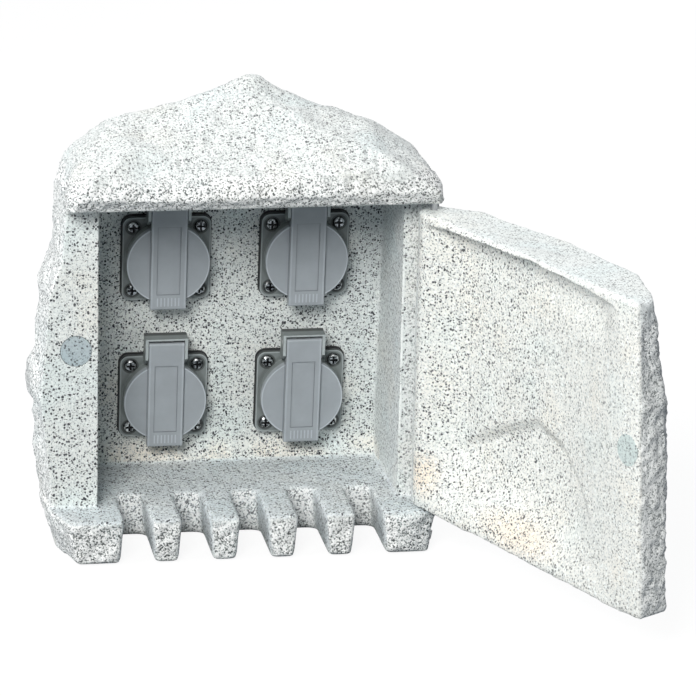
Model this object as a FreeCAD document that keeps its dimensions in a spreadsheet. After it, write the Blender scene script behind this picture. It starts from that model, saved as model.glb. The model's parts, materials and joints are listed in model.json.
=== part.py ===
"""Garden power distributor cast as an artificial rock, with four lidded sockets behind a hinged stone door.

Millimetres, +Z up. The origin is the middle of the footprint, on the ground. X runs along the row of
cable slots, Y runs from the open front to the back.
"""
import FreeCAD, Part
import math
import os

import Sketcher
from FreeCAD import Placement, Rotation, Vector

doc = FreeCAD.newDocument("rock_power_distributor")
sheet = doc.addObject("Spreadsheet::Sheet", "sizes")


class Size:
    """A length or angle that knows its number and the sheet expression that it comes from."""

    def __init__(self, number, text):
        self.number = float(number)
        self.text = text

    def _join(self, other, sign, number, swapped=False):
        other = other if isinstance(other, Size) else Size(other, repr(other))
        first, second = (other, self) if swapped else (self, other)
        return Size(number(first.number, second.number), f"({first.text} {sign} {second.text})")

    def __add__(self, other):
        return self._join(other, "+", lambda a, b: a + b)

    def __radd__(self, other):
        return self._join(other, "+", lambda a, b: a + b, True)

    def __sub__(self, other):
        return self._join(other, "-", lambda a, b: a - b)

    def __rsub__(self, other):
        return self._join(other, "-", lambda a, b: a - b, True)

    def __mul__(self, other):
        return self._join(other, "*", lambda a, b: a * b)

    def __rmul__(self, other):
        return self._join(other, "*", lambda a, b: a * b, True)

    def __truediv__(self, other):
        return self._join(other, "/", lambda a, b: a / b)

    def __neg__(self):
        return Size(-self.number, f"(-{self.text})")

    def __float__(self):
        return self.number


def sine(angle):
    return Size(math.sin(math.radians(angle.number)), f"sin({angle.text})")


def cosine(angle):
    return Size(math.cos(math.radians(angle.number)), f"cos({angle.text})")


def tangent(angle):
    return Size(math.tan(math.radians(angle.number)), f"tan({angle.text})")


SIZES = {
    # footing and opening
    "ledge_height": 25.2,
    "jamb_setback": 26.0,
    "wall_setback": 69.5,
    "wall_lean": 6.0,
    "wall_thickness": 8.0,
    "wall_centre_height": 108.3,
    "opening_half": 84.3,
    "opening_top": 200.0,
    "cut_margin": 1.0,
    "floor_cove": 9.0,
    # heights of the rock's levels, the roof's from the top of the opening
    "belly_height": 88.0,
    "shoulder_height": 148.0,
    "neck_height": 166.0,
    "lip_rise": 8.0,
    "lip_top_rise": 18.0,
    "slope_rise": 34.0,
    "crown_rise": 47.5,
    "peak_rise": 57.5,
    # cable slots
    "slot_count": 5,
    "slot_pitch": 32.34,
    "slot_width": 14.6,
    "slot_depth": 46.0,
    "slot_flare": 4.5,
    "slot_corner": 4.0,
    "foot_corner": 2.5,
    # wiring space and rear cover
    "rear_seat": 70.0,
    "rear_half": 72.0,
    "rear_floor": 41.0,
    "rear_top": 176.0,
    "rear_rim": 8.0,
    "cover_thickness": 4.0,
    "cover_corner": 5.0,
    "cover_gap": 0.4,
    "gasket_thickness": 1.5,
    "cover_screw_radius": 1.9,
    "cover_screw_head": 3.2,
    "cover_screw_head_height": 2.0,
    "cover_screw_length": 14.0,
    # sockets
    "socket_pitch_across": 78.4,
    "socket_pitch_up": 84.4,
    "flange_side": 50.0,
    "flange_corner": 5.0,
    "flange_thickness": 3.0,
    "socket_gasket": 1.2,
    "gasket_margin": 0.6,
    "screw_spacing": 38.0,
    "screw_radius": 1.75,
    "screw_head_radius": 3.5,
    "screw_head_height": 2.0,
    "screw_length": 12.0,
    "screw_clearance": 0.1,
    "screw_sink": 1.0,
    "screw_recess_gap": 0.2,
    "screw_cross_width": 1.0,
    "screw_cross_depth": 1.2,
    "pilot_spare": 1.0,
    "collar_radius": 23.0,
    "collar_height": 5.5,
    "recess_radius": 20.0,
    "recess_depth": 17.5,
    "gasket_hole_gap": 0.3,
    "cup_radius": 21.8,
    "cup_depth": 24.0,
    "cup_lip": 2.0,
    "cup_mouth_radius": 17.0,
    "wall_hole_radius": 22.4,
    "insert_gap": 0.2,
    "pin_spacing": 19.0,
    "pin_hole_radius": 2.7,
    "pin_land": 4.5,
    "sleeve_radius": 3.4,
    "sleeve_bore": 2.5,
    "sleeve_length": 18.0,
    "sleeve_bore_depth": 13.0,
    "sleeve_fit": 0.1,
    "earth_strap_width": 6.0,
    "earth_strap_half": 19.6,
    "earth_strap_thickness": 0.8,
    "earth_strap_reach": 15.0,
    "earth_strap_gap": 0.2,
    # lid and its hinge
    "lid_radius": 23.4,
    "lid_thickness": 3.7,
    "lid_gap": 0.3,
    "strip_half": 10.0,
    "strip_rise": 2.0,
    "strip_top": 36.8,
    "strip_bottom": 26.9,
    "strip_round": 1.2,
    "lid_hollow_radius": 19.0,
    "lid_hollow_depth": 1.6,
    "panel_half": 6.45,
    "panel_low": 17.6,
    "panel_high": 23.0,
    "panel_depth": 0.6,
    "seal_radius": 22.6,
    "seal_width": 2.0,
    "seal_height": 1.4,
    "seal_gap": 0.05,
    "seal_groove_gap": 0.05,
    "hinge_height": 34.5,
    "hinge_inset": 3.5,
    "hinge_pin_radius": 1.2,
    "hinge_running_gap": 0.05,
    "hinge_fixed_gap": 0.02,
    "hood_gap": 0.3,
    "hood_wall": 1.7,
    "hood_underside": 38.5,
    "hood_top": 1.0,
    "hood_foot": 22.5,
    "hood_chin": 27.0,
    "hood_front": 15.5,
    "hood_cheek": 9.9,
    "hood_back": 5.5,
    "hood_root": 2.7,
    "hood_root_top": 24.5,
    "rib_count": 7,
    "rib_pitch": 2.0,
    "rib_width": 0.7,
    "rib_rise": 0.3,
    "rib_low": 24.5,
    "rib_high": 19.5,
    "spring_radius": 2.3,
    "spring_bore": 1.25,
    "spring_length": 7.6,
    "spring_gap": 0.4,
    # door
    "pivot_across": 98.5,
    "pivot_setback": 12.0,
    "open_angle": 114.0,
    "door_sill": 1.5,
    "door_head": 4.1,
    "door_waist_rise": 52.0,
    "door_chest_rise": 112.0,
    "door_gap": 0.3,
    "door_lead": 4.5,
    "door_end": 5.0,
    "door_end_front": 4.0,
    "door_end_back": 7.0,
    "door_root": 20.0,
    "door_root_drop": 8.0,
    "door_crest": 88.0,
    "door_brow": 42.0,
    "door_brow_drop": 7.0,
    "door_edge_slope": 1.5,
    "door_bevel": 13.0,
    "door_rim_hinge": 6.0,
    "door_rim_free": 19.0,
    "door_rim_level": 5.4,
    "door_rim_corner": 11.0,
    "door_dish": 13.5,
    "door_dish_inset": 9.0,
    "door_well": 5.5,
    "door_well_inset": 26.0,
    # pivots and magnets
    "pivot_radius": 2.0,
    "pivot_grip": 14.0,
    "pivot_reach": 7.0,
    "bush_radius": 2.8,
    "bush_length": 8.0,
    "bush_collar_radius": 3.7,
    "bush_collar": 1.2,
    "bush_fit": 0.05,
    "magnet_radius": 8.5,
    "magnet_thickness": 5.0,
    "magnet_height": 116.0,
    "magnet_along": 195.0,
    "magnet_fit": 0.1,
    "magnet_sink": 0.1,
    # cable gland
    "gland_height": 58.0,
    "gland_thread_radius": 7.8,
    "gland_bore": 4.5,
    "gland_fit": 0.1,
    "gland_inner_length": 9.0,
    "hex_angle": 30.0,
    "gland_hex": 11.0,
    "gland_hex_length": 4.0,
    "gland_nose_radius": 7.0,
    "gland_nose": 6.0,
    "gland_nut_length": 3.3,
    "gland_cap_radius": 8.8,
    "gland_cap_end": 1.0,
    "gland_seal_radius": 5.6,
    "gland_seal_bore": 3.8,
    "gland_seal_depth": 4.0,
    # terminals and wiring
    "terminal_length": 32.0,
    "terminal_height": 16.0,
    "terminal_front": 50.0,
    "terminal_back": 66.0,
    "terminal_pitch": 9.5,
    "terminal_screw_line": 62.0,
    "terminal_screw_radius": 2.2,
    "terminal_screw_sink": 2.5,
    "terminal_screw_height": 6.0,
    "terminal_slot_width": 0.8,
    "terminal_slot_depth": 1.0,
    "wire_radius": 1.4,
    "wire_fit": 0.05,
    "wire_entry": 7.0,
    "wire_lower_line": 57.6,
    "wire_upper_line": 53.4,
    "wire_upper_shift": 4.2,
    # base screws
    "base_screw_radius": 2.2,
    "base_screw_head": 4.4,
    "base_screw_head_height": 3.0,
    "base_screw_length": 32.0,
    "base_screw_sink": 3.0,
    "base_screw_gap": 0.3,
    "base_screw_across": 94.0,
    "base_screw_front": 32.0,
    "base_screw_back_across": 86.0,
    "base_screw_back": 30.0,
}

# one row for each level of the rock: how far it reaches left, right and back, the two legs of the
# cut across its front corners, those of the cut across its back corners, and how far it reaches to
# the front; levels without a front stop at the jambs
LEVEL_COLUMNS = ("left", "right", "back", "cut", "run", "back_cut", "back_run", "front")
LEVELS = {
    "sole": (107.0, 107.0, 79.0, 9.0, 34.0, 22.0, 96.0, 79.0),
    "ledge": (113.0, 112.0, 80.0, 9.0, 34.0, 22.0, 96.0, 80.0),
    "belly": (120.0, 115.0, 80.0, 4.0, 34.0, 24.0, 96.0),
    "shoulder": (114.0, 112.0, 79.0, 3.0, 30.0, 22.0, 96.0),
    "neck": (107.0, 108.0, 77.0, 2.5, 30.0, 18.0, 90.0),
    "eaves": (104.0, 106.0, 74.0, 2.5, 30.0, 20.0, 84.0),
    "brow": (104.0, 104.5, 72.0, 3.0, 8.0, 22.0, 84.0, 73.0),
    "lip": (104.0, 104.5, 60.0, 6.0, 12.0, 26.0, 80.0, 80.0),
    "lip_top": (100.0, 94.0, 46.0, 9.0, 16.0, 30.0, 60.0, 77.0),
    "slope": (79.0, 64.0, 20.0, 18.0, 22.0, 30.0, 34.0, 52.0),
    "crown": (39.0, 30.0, 12.0, 12.0, 14.0, 14.0, 18.0, 29.0),
    "peak": (7.0, 8.0, 0.5, 4.0, 5.0, 4.0, 5.0, 12.0),
}

# one row for each level of the door: width from the hinge, thickness of the free edge, and the depth
# of the shoulder behind that edge and of the crest, both measured outwards from the pivot axis
DOOR_COLUMNS = ("width", "rim", "edge", "crest_depth")
DOOR_LEVELS = {
    "door_foot": (211.0, 20.0, 14.0, 24.0),
    "door_waist": (208.0, 18.0, 15.0, 33.0),
    "door_chest": (204.0, 18.0, 16.0, 32.0),
    "door_top": (199.0, 11.0, 7.0, 27.0),
}


def fill_sheet():
    rows = dict(SIZES)
    for level, numbers in LEVELS.items():
        for column, number in zip(LEVEL_COLUMNS, numbers):
            rows[f"{level}_{column}"] = number
    for level, numbers in DOOR_LEVELS.items():
        for column, number in zip(DOOR_COLUMNS, numbers):
            rows[f"{level}_{column}"] = number
    for row, (alias, number) in enumerate(rows.items(), 1):
        sheet.set(f"A{row}", alias.replace("_", " "))
        sheet.set(f"B{row}", str(number))
        sheet.setAlias(f"B{row}", alias)
    doc.recompute()
    return rows


ROWS = fill_sheet()


class Dimensions:
    """Reads a row of the sheet by its alias."""

    def __getattr__(self, alias):
        return Size(ROWS[alias], f"sizes.{alias}")


dim = Dimensions()


def text_of(length):
    return length.text if isinstance(length, Size) else repr(float(length))


def bind(item, prop, length):
    """Sets a property to a size and ties it to the sheet."""
    item.setExpression(prop, text_of(length))


def origin_plane(body, role):
    return next(feature for feature in body.Origin.OriginFeatures if feature.Role == role)


def new_body(label):
    body = doc.addObject("PartDesign::Body", label)
    body.Label = label
    return body


def new_sketch(body, name, role, offset=0.0):
    """A sketch on one of the body's origin planes, lifted along the plane's normal."""
    sketch = body.newObject("Sketcher::SketchObject", name)
    sketch.AttachmentSupport = [(origin_plane(body, role), "")]
    sketch.MapMode = "FlatFace"
    bind(sketch, ".AttachmentOffset.Base.z", offset)
    return sketch


def pin_point(sketch, geometry, vertex, x, y):
    """Holds one vertex at a place measured from the sketch's origin."""
    for kind, axis, place in (("DistanceX", -2, x), ("DistanceY", -1, y)):
        if float(place) == 0.0 and not isinstance(place, Size):
            sketch.addConstraint(Sketcher.Constraint("PointOnObject", geometry, vertex, axis))
            continue
        index = sketch.addConstraint(Sketcher.Constraint(kind, -1, 1, geometry, vertex, float(place)))
        if isinstance(place, Size):
            bind(sketch, f"Constraints[{index}]", place)


def draw_outline(sketch, points):
    """A closed outline of straight lines through the points."""
    first = sketch.GeometryCount
    ends = [Vector(float(x), float(y), 0) for x, y in points]
    count = len(points)
    for number in range(count):
        sketch.addGeometry(Part.LineSegment(ends[number], ends[(number + 1) % count]))
    for number in range(count):
        after = first + (number + 1) % count
        sketch.addConstraint(Sketcher.Constraint("Coincident", first + number, 2, after, 1))
    for number, (x, y) in enumerate(points):
        pin_point(sketch, first + number, 1, x, y)


def draw_circle(sketch, x, y, radius):
    circle = sketch.addGeometry(Part.Circle(Vector(float(x), float(y), 0), Vector(0, 0, 1), float(radius)))
    pin_point(sketch, circle, 3, x, y)
    index = sketch.addConstraint(Sketcher.Constraint("Radius", circle, float(radius)))
    if isinstance(radius, Size):
        bind(sketch, f"Constraints[{index}]", radius)


def rectangle(left, right, low, high):
    return [(left, low), (right, low), (right, high), (left, high)]


def extrude(body, kind, name, sketch, length, both_sides=False, reversed_way=False, taper=None):
    """A pad or a pocket of the sketch, one way or both ways from its plane."""
    feature = body.newObject(f"PartDesign::{kind}", name)
    feature.Profile = sketch
    bind(feature, "Length", length)
    if both_sides:
        feature.SideType = "Symmetric"
    feature.Reversed = reversed_way
    if taper is not None:
        bind(feature, "TaperAngle", taper)
    sketch.Visibility = False
    return feature


def loft(body, kind, name, sketches):
    """A faceted loft, straight from each section to the next."""
    feature = body.newObject(f"PartDesign::{kind}", name)
    feature.Profile = sketches[0]
    feature.Sections = sketches[1:]
    feature.Ruled = True
    return feature


def repeat_along(body, name, feature, axis_role, spacing, count):
    """Copies of a feature in a row along one of the body's origin axes."""
    pattern = body.newObject("PartDesign::LinearPattern", name)
    pattern.Originals = [feature]
    pattern.Direction = (origin_plane(body, axis_role), [""])
    bind(pattern, "Length", spacing * (count - 1))
    bind(pattern, "Occurrences", count)
    body.Tip = pattern
    return pattern


def edges_where(feature, keep):
    """Names of the feature's edges whose two ends both pass the test."""
    names = []
    for number, edge in enumerate(feature.Shape.Edges, 1):
        ends = [vertex.Point for vertex in edge.Vertexes]
        if len(ends) == 2 and keep(ends[0], ends[1]):
            names.append(f"Edge{number}")
    return names


def round_edges(body, name, feature, keep, radius):
    """A fillet on the edges that pass the test."""
    doc.recompute()
    fillet = body.newObject("PartDesign::Fillet", name)
    fillet.Base = (feature, edges_where(feature, keep))
    bind(fillet, "Radius", radius)
    return fillet


def solid(kind, name, **sizes):
    """A plain solid of the Part bench, each size tied to the sheet."""
    item = doc.addObject(f"Part::{kind}", name)
    for prop, length in sizes.items():
        bind(item, prop, length)
    return item


def place(item, x=0.0, y=0.0, z=0.0, axis=None, angle=0.0):
    """Puts an object at a point, turned about an axis."""
    if axis is not None:
        item.Placement = Placement(Vector(0, 0, 0), Rotation(axis, float(angle)))
        if isinstance(angle, Size):
            bind(item, ".Placement.Rotation.Angle", angle)
    for letter, length in zip("xyz", (x, y, z)):
        bind(item, f".Placement.Base.{letter}", length)
    return item


X_AXIS = Vector(1, 0, 0)
Y_AXIS = Vector(0, 1, 0)
Z_AXIS = Vector(0, 0, 1)


def cylinder(name, radius, height, x=0.0, y=0.0, z=0.0, axis=None, angle=0.0):
    """A round bar that starts at a point and runs up, or along the way that it is turned."""
    return place(solid("Cylinder", name, Radius=radius, Height=height), x, y, z, axis, angle)


def fuse(name, *parts):
    item = doc.addObject("Part::MultiFuse", name)
    item.Shapes = list(parts)
    return item


def group(name, *parts):
    """Separate solids kept together as one piece of the parts list."""
    item = doc.addObject("Part::Compound", name)
    item.Links = list(parts)
    return item


PIECES = []


def piece(item, label):
    """Marks an object as a finished piece of the product."""
    item.Label = label
    PIECES.append(item)
    return item


def turned(name, axis, outline):
    """A body turned about its own x, y or z axis from points given as (along, radius)."""
    body = new_body(name)
    sketch = new_sketch(body, f"{name}_profile", "YZ_Plane" if axis == "y" else "XZ_Plane")
    draw_outline(sketch, [(r, a) for a, r in outline] if axis == "z" else outline)
    turn = body.newObject("PartDesign::Revolution", f"{name}_turn")
    turn.Profile = sketch
    turn.ReferenceAxis = (sketch, ["V_Axis" if axis == "z" else "H_Axis"])
    turn.Angle = 360
    sketch.Visibility = False
    return body


def tube(name, axis, start, end, inner, outer):
    return turned(name, axis, [(start, inner), (start, outer), (end, outer), (end, inner)])


def square_plate(name, rear, half_across, low, high, thickness, corner):
    """A plate with rounded corners, its rear face at the given place along y."""
    body = new_body(name)
    sketch = new_sketch(body, f"{name}_outline", "XZ_Plane", -rear)
    draw_outline(sketch, rectangle(-half_across, half_across, low, high))
    plate = extrude(body, "Pad", f"{name}_plate", sketch, thickness)
    if corner is None:
        return body
    rear_place, tall = float(rear), float(thickness)
    round_edges(body, f"{name}_corners", plate,
                lambda a, b: abs(a.x - b.x) < 0.01 and abs(abs(a.y - b.y) - tall) < 0.01, corner)
    return body


def bore_back(body, name, start, length, circles):
    """Round holes that run from a place along y towards the back."""
    sketch = new_sketch(body, f"{name}_circles", "XZ_Plane", -start)
    for x, z, radius in circles:
        draw_circle(sketch, x, z, radius)
    return extrude(body, "Pocket", name, sketch, length)


def cross_recess(body, name, role, offset, head, reversed_way=False):
    """The driver's cross, cut into a screw head as two grooves."""
    long, wide = head * 0.6, dim.screw_cross_width * 0.5
    for letter, across, along in (("a", long, wide), ("b", wide, long)):
        sketch = new_sketch(body, f"{name}_cross_{letter}", role, offset)
        draw_outline(sketch, rectangle(-across, across, -along, along))
        extrude(body, "Pocket", f"{name}_recess_{letter}", sketch, dim.screw_cross_depth,
                reversed_way=reversed_way)


def cross_screw(name, head, head_height, shank, length):
    """A pan-head screw along y: its head in front of the origin, its shank behind it."""
    body = turned(name, "y", [(-head_height, 0.0), (-head_height, head * 0.72),
                              (head_height * -0.55, head), (0.0, head), (0.0, shank),
                              (length - shank, shank), (length, shank * 0.3), (length, 0.0)])
    cross_recess(body, name, "XZ_Plane", head_height, head)
    return body


jamb_front = dim.jamb_setback - dim.ledge_front
wall_front = jamb_front + dim.wall_setback
lean = dim.wall_lean
hinge_place = jamb_front - dim.pivot_setback
recess_floor = dim.recess_depth - dim.socket_gasket - dim.flange_thickness - dim.collar_height
lid_back = -dim.socket_gasket - dim.flange_thickness - dim.collar_height - dim.lid_gap
seal_bottom = lid_back + dim.lid_gap - dim.seal_gap - dim.seal_height
hinge_depth = dim.lid_thickness + dim.strip_rise - lid_back - dim.hinge_inset
BASE_SCREWS = [(across * side, y) for side in (-1, 1)
               for across, y in ((dim.base_screw_across, -dim.base_screw_front),
                                 (dim.base_screw_back_across, dim.base_screw_back))]

SOCKETS = [(x, z) for z in (dim.socket_pitch_up * 0.5, dim.socket_pitch_up * -0.5)
           for x in (dim.socket_pitch_across * -0.5, dim.socket_pitch_across * 0.5)]
SOCKET_NAMES = ("top_left", "top_right", "bottom_left", "bottom_right")
SCREW_PLACES = [(x, z) for x in (dim.screw_spacing * -0.5, dim.screw_spacing * 0.5)
                for z in (dim.screw_spacing * 0.5, dim.screw_spacing * -0.5)]
RIM_MIDDLE = dim.rear_half + dim.rear_rim * 0.5
COVER_SCREWS = [(x, z) for x in (-RIM_MIDDLE, RIM_MIDDLE)
                for z in (dim.rear_floor - dim.rear_rim * 0.5, (dim.rear_floor + dim.rear_top) * 0.5,
                          dim.rear_top + dim.rear_rim * 0.5)]


def wall_place(height):
    """Place along y of the leaning back wall at a height."""
    return wall_front - (height - dim.wall_centre_height) * tangent(lean)


def level_outline(level, front=None, corner=None):
    """Eight points round the rock at one level."""
    left, right, back = (getattr(dim, f"{level}_{side}") for side in ("left", "right", "back"))
    front = getattr(dim, f"{level}_front") if front is None else front
    cut_across, run = (getattr(dim, f"{corner or level}_{leg}") for leg in ("cut", "run"))
    back_cut, back_run = (getattr(dim, f"{level}_back_{leg}") for leg in ("cut", "run"))
    return [(cut_across - left, -front), (right - cut_across, -front), (right, run - front),
            (right, back - back_run), (right - back_cut, back), (back_cut - left, back),
            (-left, back - back_run), (-left, run - front)]


def level_sketch(body, name, height, points):
    sketch = new_sketch(body, name, "XY_Plane", height)
    draw_outline(sketch, points)
    return sketch


def build_ledge():
    """The footing with its ledge and the slots that let cables out under the closed door."""
    body = new_body("base_ledge")
    top = dim.ledge_height
    rock = loft(body, "AdditiveLoft", "ledge_rock", [
        level_sketch(body, "sole_outline", 0.0, level_outline("sole")),
        level_sketch(body, "ledge_outline", top, level_outline("ledge"))])
    half = dim.slot_width * 0.5
    first = (dim.slot_count - 1) * -0.5 * dim.slot_pitch
    low_half = half + top * tangent(dim.slot_flare)
    front, rear = -dim.ledge_front - dim.cut_margin, dim.slot_depth - dim.ledge_front
    sections = []
    for name, height, reach in (("slot_top", top, half), ("slot_bottom", 0.0, low_half)):
        sketch = new_sketch(body, name, "XY_Plane", height)
        draw_outline(sketch, rectangle(first - reach, first + reach, front, rear))
        sections.append(sketch)
    slot = loft(body, "SubtractiveLoft", "cable_slot", sections)
    slots = repeat_along(body, "cable_slots", slot, "X_Axis", dim.slot_pitch, dim.slot_count)
    depth = float(rear)
    widest = float(first) * -1 + float(low_half) + 1

    def slot_corner(a, b):
        across = abs(a.z - b.z) > 20 and abs(a.x) < widest
        return across and abs(a.y - depth) < 0.1 and abs(b.y - depth) < 0.1

    def foot_corner(a, b):
        across = abs(a.z - b.z) > 20 and abs(a.x) < widest
        return across and a.y < -78 and b.y < -78

    rounded = round_edges(body, "slot_corners", slots, slot_corner, dim.slot_corner)
    round_edges(body, "foot_corners", rounded, foot_corner, dim.foot_corner)
    seat = new_sketch(body, "lower_bush_seat", "XY_Plane", top)
    draw_circle(seat, dim.pivot_across, hinge_place, dim.bush_collar_radius + dim.bush_fit)
    extrude(body, "Pocket", "lower_bush_collar", seat, dim.bush_collar)
    hole = new_sketch(body, "lower_bush_hole", "XY_Plane", top)
    draw_circle(hole, dim.pivot_across, hinge_place, dim.bush_radius + dim.bush_fit)
    extrude(body, "Pocket", "lower_bush_bore", hole, dim.bush_length + dim.pilot_spare)
    wells = new_sketch(body, "screw_wells", "XY_Plane")
    shafts = new_sketch(body, "screw_shafts", "XY_Plane")
    for x, y in BASE_SCREWS:
        draw_circle(wells, x, y, dim.base_screw_head + dim.base_screw_gap)
        draw_circle(shafts, x, y, dim.base_screw_radius + dim.screw_clearance)
    deep = dim.base_screw_sink + dim.base_screw_head_height
    extrude(body, "Pocket", "screw_counterbores", wells, deep, reversed_way=True)
    extrude(body, "Pocket", "screw_holes", shafts, top, reversed_way=True)
    return piece(body, "base_ledge")


def build_housing():
    """The rock above the ledge: side walls, leaning back wall, roof and the wiring space behind."""
    body = new_body("rock_housing")
    floor, top = dim.ledge_height, dim.opening_top
    walls = (("ledge", floor, "belly"), ("belly", dim.belly_height, None),
             ("shoulder", dim.shoulder_height, None), ("neck", dim.neck_height, None),
             ("eaves", top, None))
    rings = [level_sketch(body, f"wall_ring_{number}", height,
                          level_outline(level, -jamb_front, corner))
             for number, (level, height, corner) in enumerate(walls, 1)]
    loft(body, "AdditiveLoft", "wall_rock", rings)
    roof = (("brow", 0.0), ("lip", dim.lip_rise), ("lip_top", dim.lip_top_rise),
            ("slope", dim.slope_rise), ("crown", dim.crown_rise), ("peak", dim.peak_rise))
    rings = [level_sketch(body, f"roof_ring_{number}", top + rise, level_outline(level))
             for number, (level, rise) in enumerate(roof, 1)]
    loft(body, "AdditiveLoft", "roof_rock", rings)

    cove = dim.floor_cove
    hollow = new_sketch(body, "opening_profile", "YZ_Plane")
    below = floor - dim.cut_margin
    draw_outline(hollow, [(jamb_front - cove, below), (wall_place(floor) - cove, below),
                          (wall_place(floor) - cove, floor), (wall_place(floor + cove), floor + cove),
                          (wall_place(top), top), (jamb_front - cove, top)])
    extrude(body, "Pocket", "opening", hollow, dim.opening_half * 2, both_sides=True)

    low, high, rear = dim.rear_floor, dim.rear_top, dim.rear_seat
    behind = dim.wall_thickness / cosine(lean)
    space = new_sketch(body, "wiring_profile", "YZ_Plane")
    draw_outline(space, [(wall_place(low) + behind, low), (rear, low), (rear, high),
                         (wall_place(high) + behind, high)])
    extrude(body, "Pocket", "wiring_space", space, dim.rear_half * 2, both_sides=True)

    outside = dim.belly_back + dim.cut_margin
    seat = new_sketch(body, "cover_seat_outline", "XZ_Plane", -outside)
    half = dim.rear_half + dim.rear_rim
    draw_outline(seat, rectangle(-half, half, low - dim.rear_rim, high + dim.rear_rim))
    pocket = extrude(body, "Pocket", "cover_seat", seat, outside - rear, reversed_way=True)
    edge, depth = float(half), float(rear)

    def seat_corner(a, b):
        along = abs(a.x - b.x) < 0.01 and abs(abs(a.x) - edge) < 0.01 and abs(a.z - b.z) < 0.01
        return along and min(a.y, b.y) > depth - 0.01

    round_edges(body, "cover_seat_corners", pocket, seat_corner, dim.cover_corner)

    for name, radius, length, places in (
            ("socket_holes", dim.wall_hole_radius, behind + 3, SOCKETS),
            ("socket_screw_holes", dim.screw_radius + dim.screw_clearance, behind + 3,
             [(x + a, z + b) for x, z in SOCKETS for a, b in SCREW_PLACES])):
        holes = new_sketch(body, f"{name}_circles", "XZ_Plane", -wall_front)
        holes.AttachmentOffset = Placement(Vector(0, 0, 0), Rotation(X_AXIS, float(lean)))
        bind(holes, ".AttachmentOffset.Rotation.Angle", lean)
        bind(holes, ".AttachmentOffset.Base.y", dim.wall_centre_height)
        for x, z in places:
            draw_circle(holes, x, z, radius)
        extrude(body, "Pocket", name, holes, length)

    bore_back(body, "magnet_pocket", jamb_front, dim.magnet_thickness + dim.magnet_sink,
              [(dim.pivot_across - dim.magnet_along, dim.magnet_height,
                dim.magnet_radius + dim.magnet_fit)])
    pilots = new_sketch(body, "cover_pilot_circles", "XZ_Plane", -rear)
    for x, z in COVER_SCREWS:
        draw_circle(pilots, x, z, dim.cover_screw_radius + dim.screw_clearance)
    extrude(body, "Pocket", "cover_pilots", pilots, dim.cover_screw_length - dim.cover_thickness,
            reversed_way=True)
    pilots = new_sketch(body, "base_pilot_circles", "XY_Plane", floor)
    for x, y in BASE_SCREWS:
        draw_circle(pilots, x, y, dim.base_screw_radius + dim.screw_clearance)
    deep = dim.base_screw_length + dim.base_screw_sink + dim.base_screw_head_height - floor
    extrude(body, "Pocket", "base_pilots", pilots, deep + dim.pilot_spare, reversed_way=True)
    for name, radius, depth in (
            ("upper_bush_seat", dim.bush_collar_radius, dim.bush_collar),
            ("upper_bush_bore", dim.bush_radius, dim.bush_length + dim.pilot_spare)):
        hole = new_sketch(body, f"{name}_circle", "XY_Plane", top)
        draw_circle(hole, dim.pivot_across, hinge_place, radius + dim.bush_fit)
        extrude(body, "Pocket", name, hole, depth, reversed_way=True)
    return piece(body, "rock_housing")


def build_door():
    """The stone door, drawn with its hinge axis at the origin and its outer face to the back."""
    body = new_body("door_panel")
    foot = dim.ledge_height + dim.door_sill
    inner = dim.door_gap - dim.pivot_setback
    head = dim.opening_top - dim.door_head
    rings = []
    for level, height in (("foot", foot), ("waist", foot + dim.door_waist_rise),
                          ("chest", foot + dim.door_chest_rise), ("top", head)):
        width, rim, edge, crest = (getattr(dim, f"door_{level}_{item}") for item in DOOR_COLUMNS)
        rings.append(level_sketch(body, f"door_ring_{level}", height, [
            (dim.door_lead, inner), (width, inner), (width - dim.door_edge_slope, inner + rim),
            (width - dim.door_bevel, edge), (width - dim.door_brow, crest - dim.door_brow_drop),
            (dim.door_crest, crest), (dim.door_root, crest - dim.door_root_drop),
            (-dim.door_end, dim.door_end_front), (-dim.door_end, -dim.door_end_back)]))
    loft(body, "AdditiveLoft", "door_rock", rings)

    left, right = dim.door_lead + dim.door_rim_hinge, dim.door_top_width - dim.door_rim_free
    low, high = foot + dim.door_rim_level, head - dim.door_rim_level
    corner = dim.door_rim_corner
    rings = []
    for name, inset, depth in (("rim", 0.0, 0.0), ("dish", dim.door_dish_inset, dim.door_dish),
                               ("well", dim.door_well_inset, dim.door_dish + dim.door_well)):
        a, b, c, d = left + inset, right - inset, low + inset, high - inset
        sketch = new_sketch(body, f"recess_{name}", "XZ_Plane", -inner - depth)
        draw_outline(sketch, [(a + corner, c), (b - corner, c), (b, c + corner), (b, d - corner),
                              (b - corner, d), (a + corner, d), (a, d - corner), (a, c + corner)])
        rings.append(sketch)
    loft(body, "SubtractiveLoft", "door_recess", rings)

    bore_back(body, "magnet_pocket_in_door", inner, dim.magnet_thickness + dim.magnet_sink,
              [(dim.magnet_along, dim.magnet_height, dim.magnet_radius + dim.magnet_fit)])
    for name, height, upwards in (("lower_pin_hole", foot, True), ("upper_pin_hole", head, False)):
        hole = new_sketch(body, f"{name}_circle", "XY_Plane", height)
        draw_circle(hole, 0.0, 0.0, dim.pivot_radius + dim.bush_fit)
        extrude(body, "Pocket", name, hole, dim.pivot_grip, reversed_way=upwards)
    return piece(place_on_door(body), "door_panel")


def place_on_door(item):
    """Puts a piece drawn with the door into its open place."""
    return place(item, dim.pivot_across, hinge_place, 0.0, Z_AXIS, dim.open_angle + 180)


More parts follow.
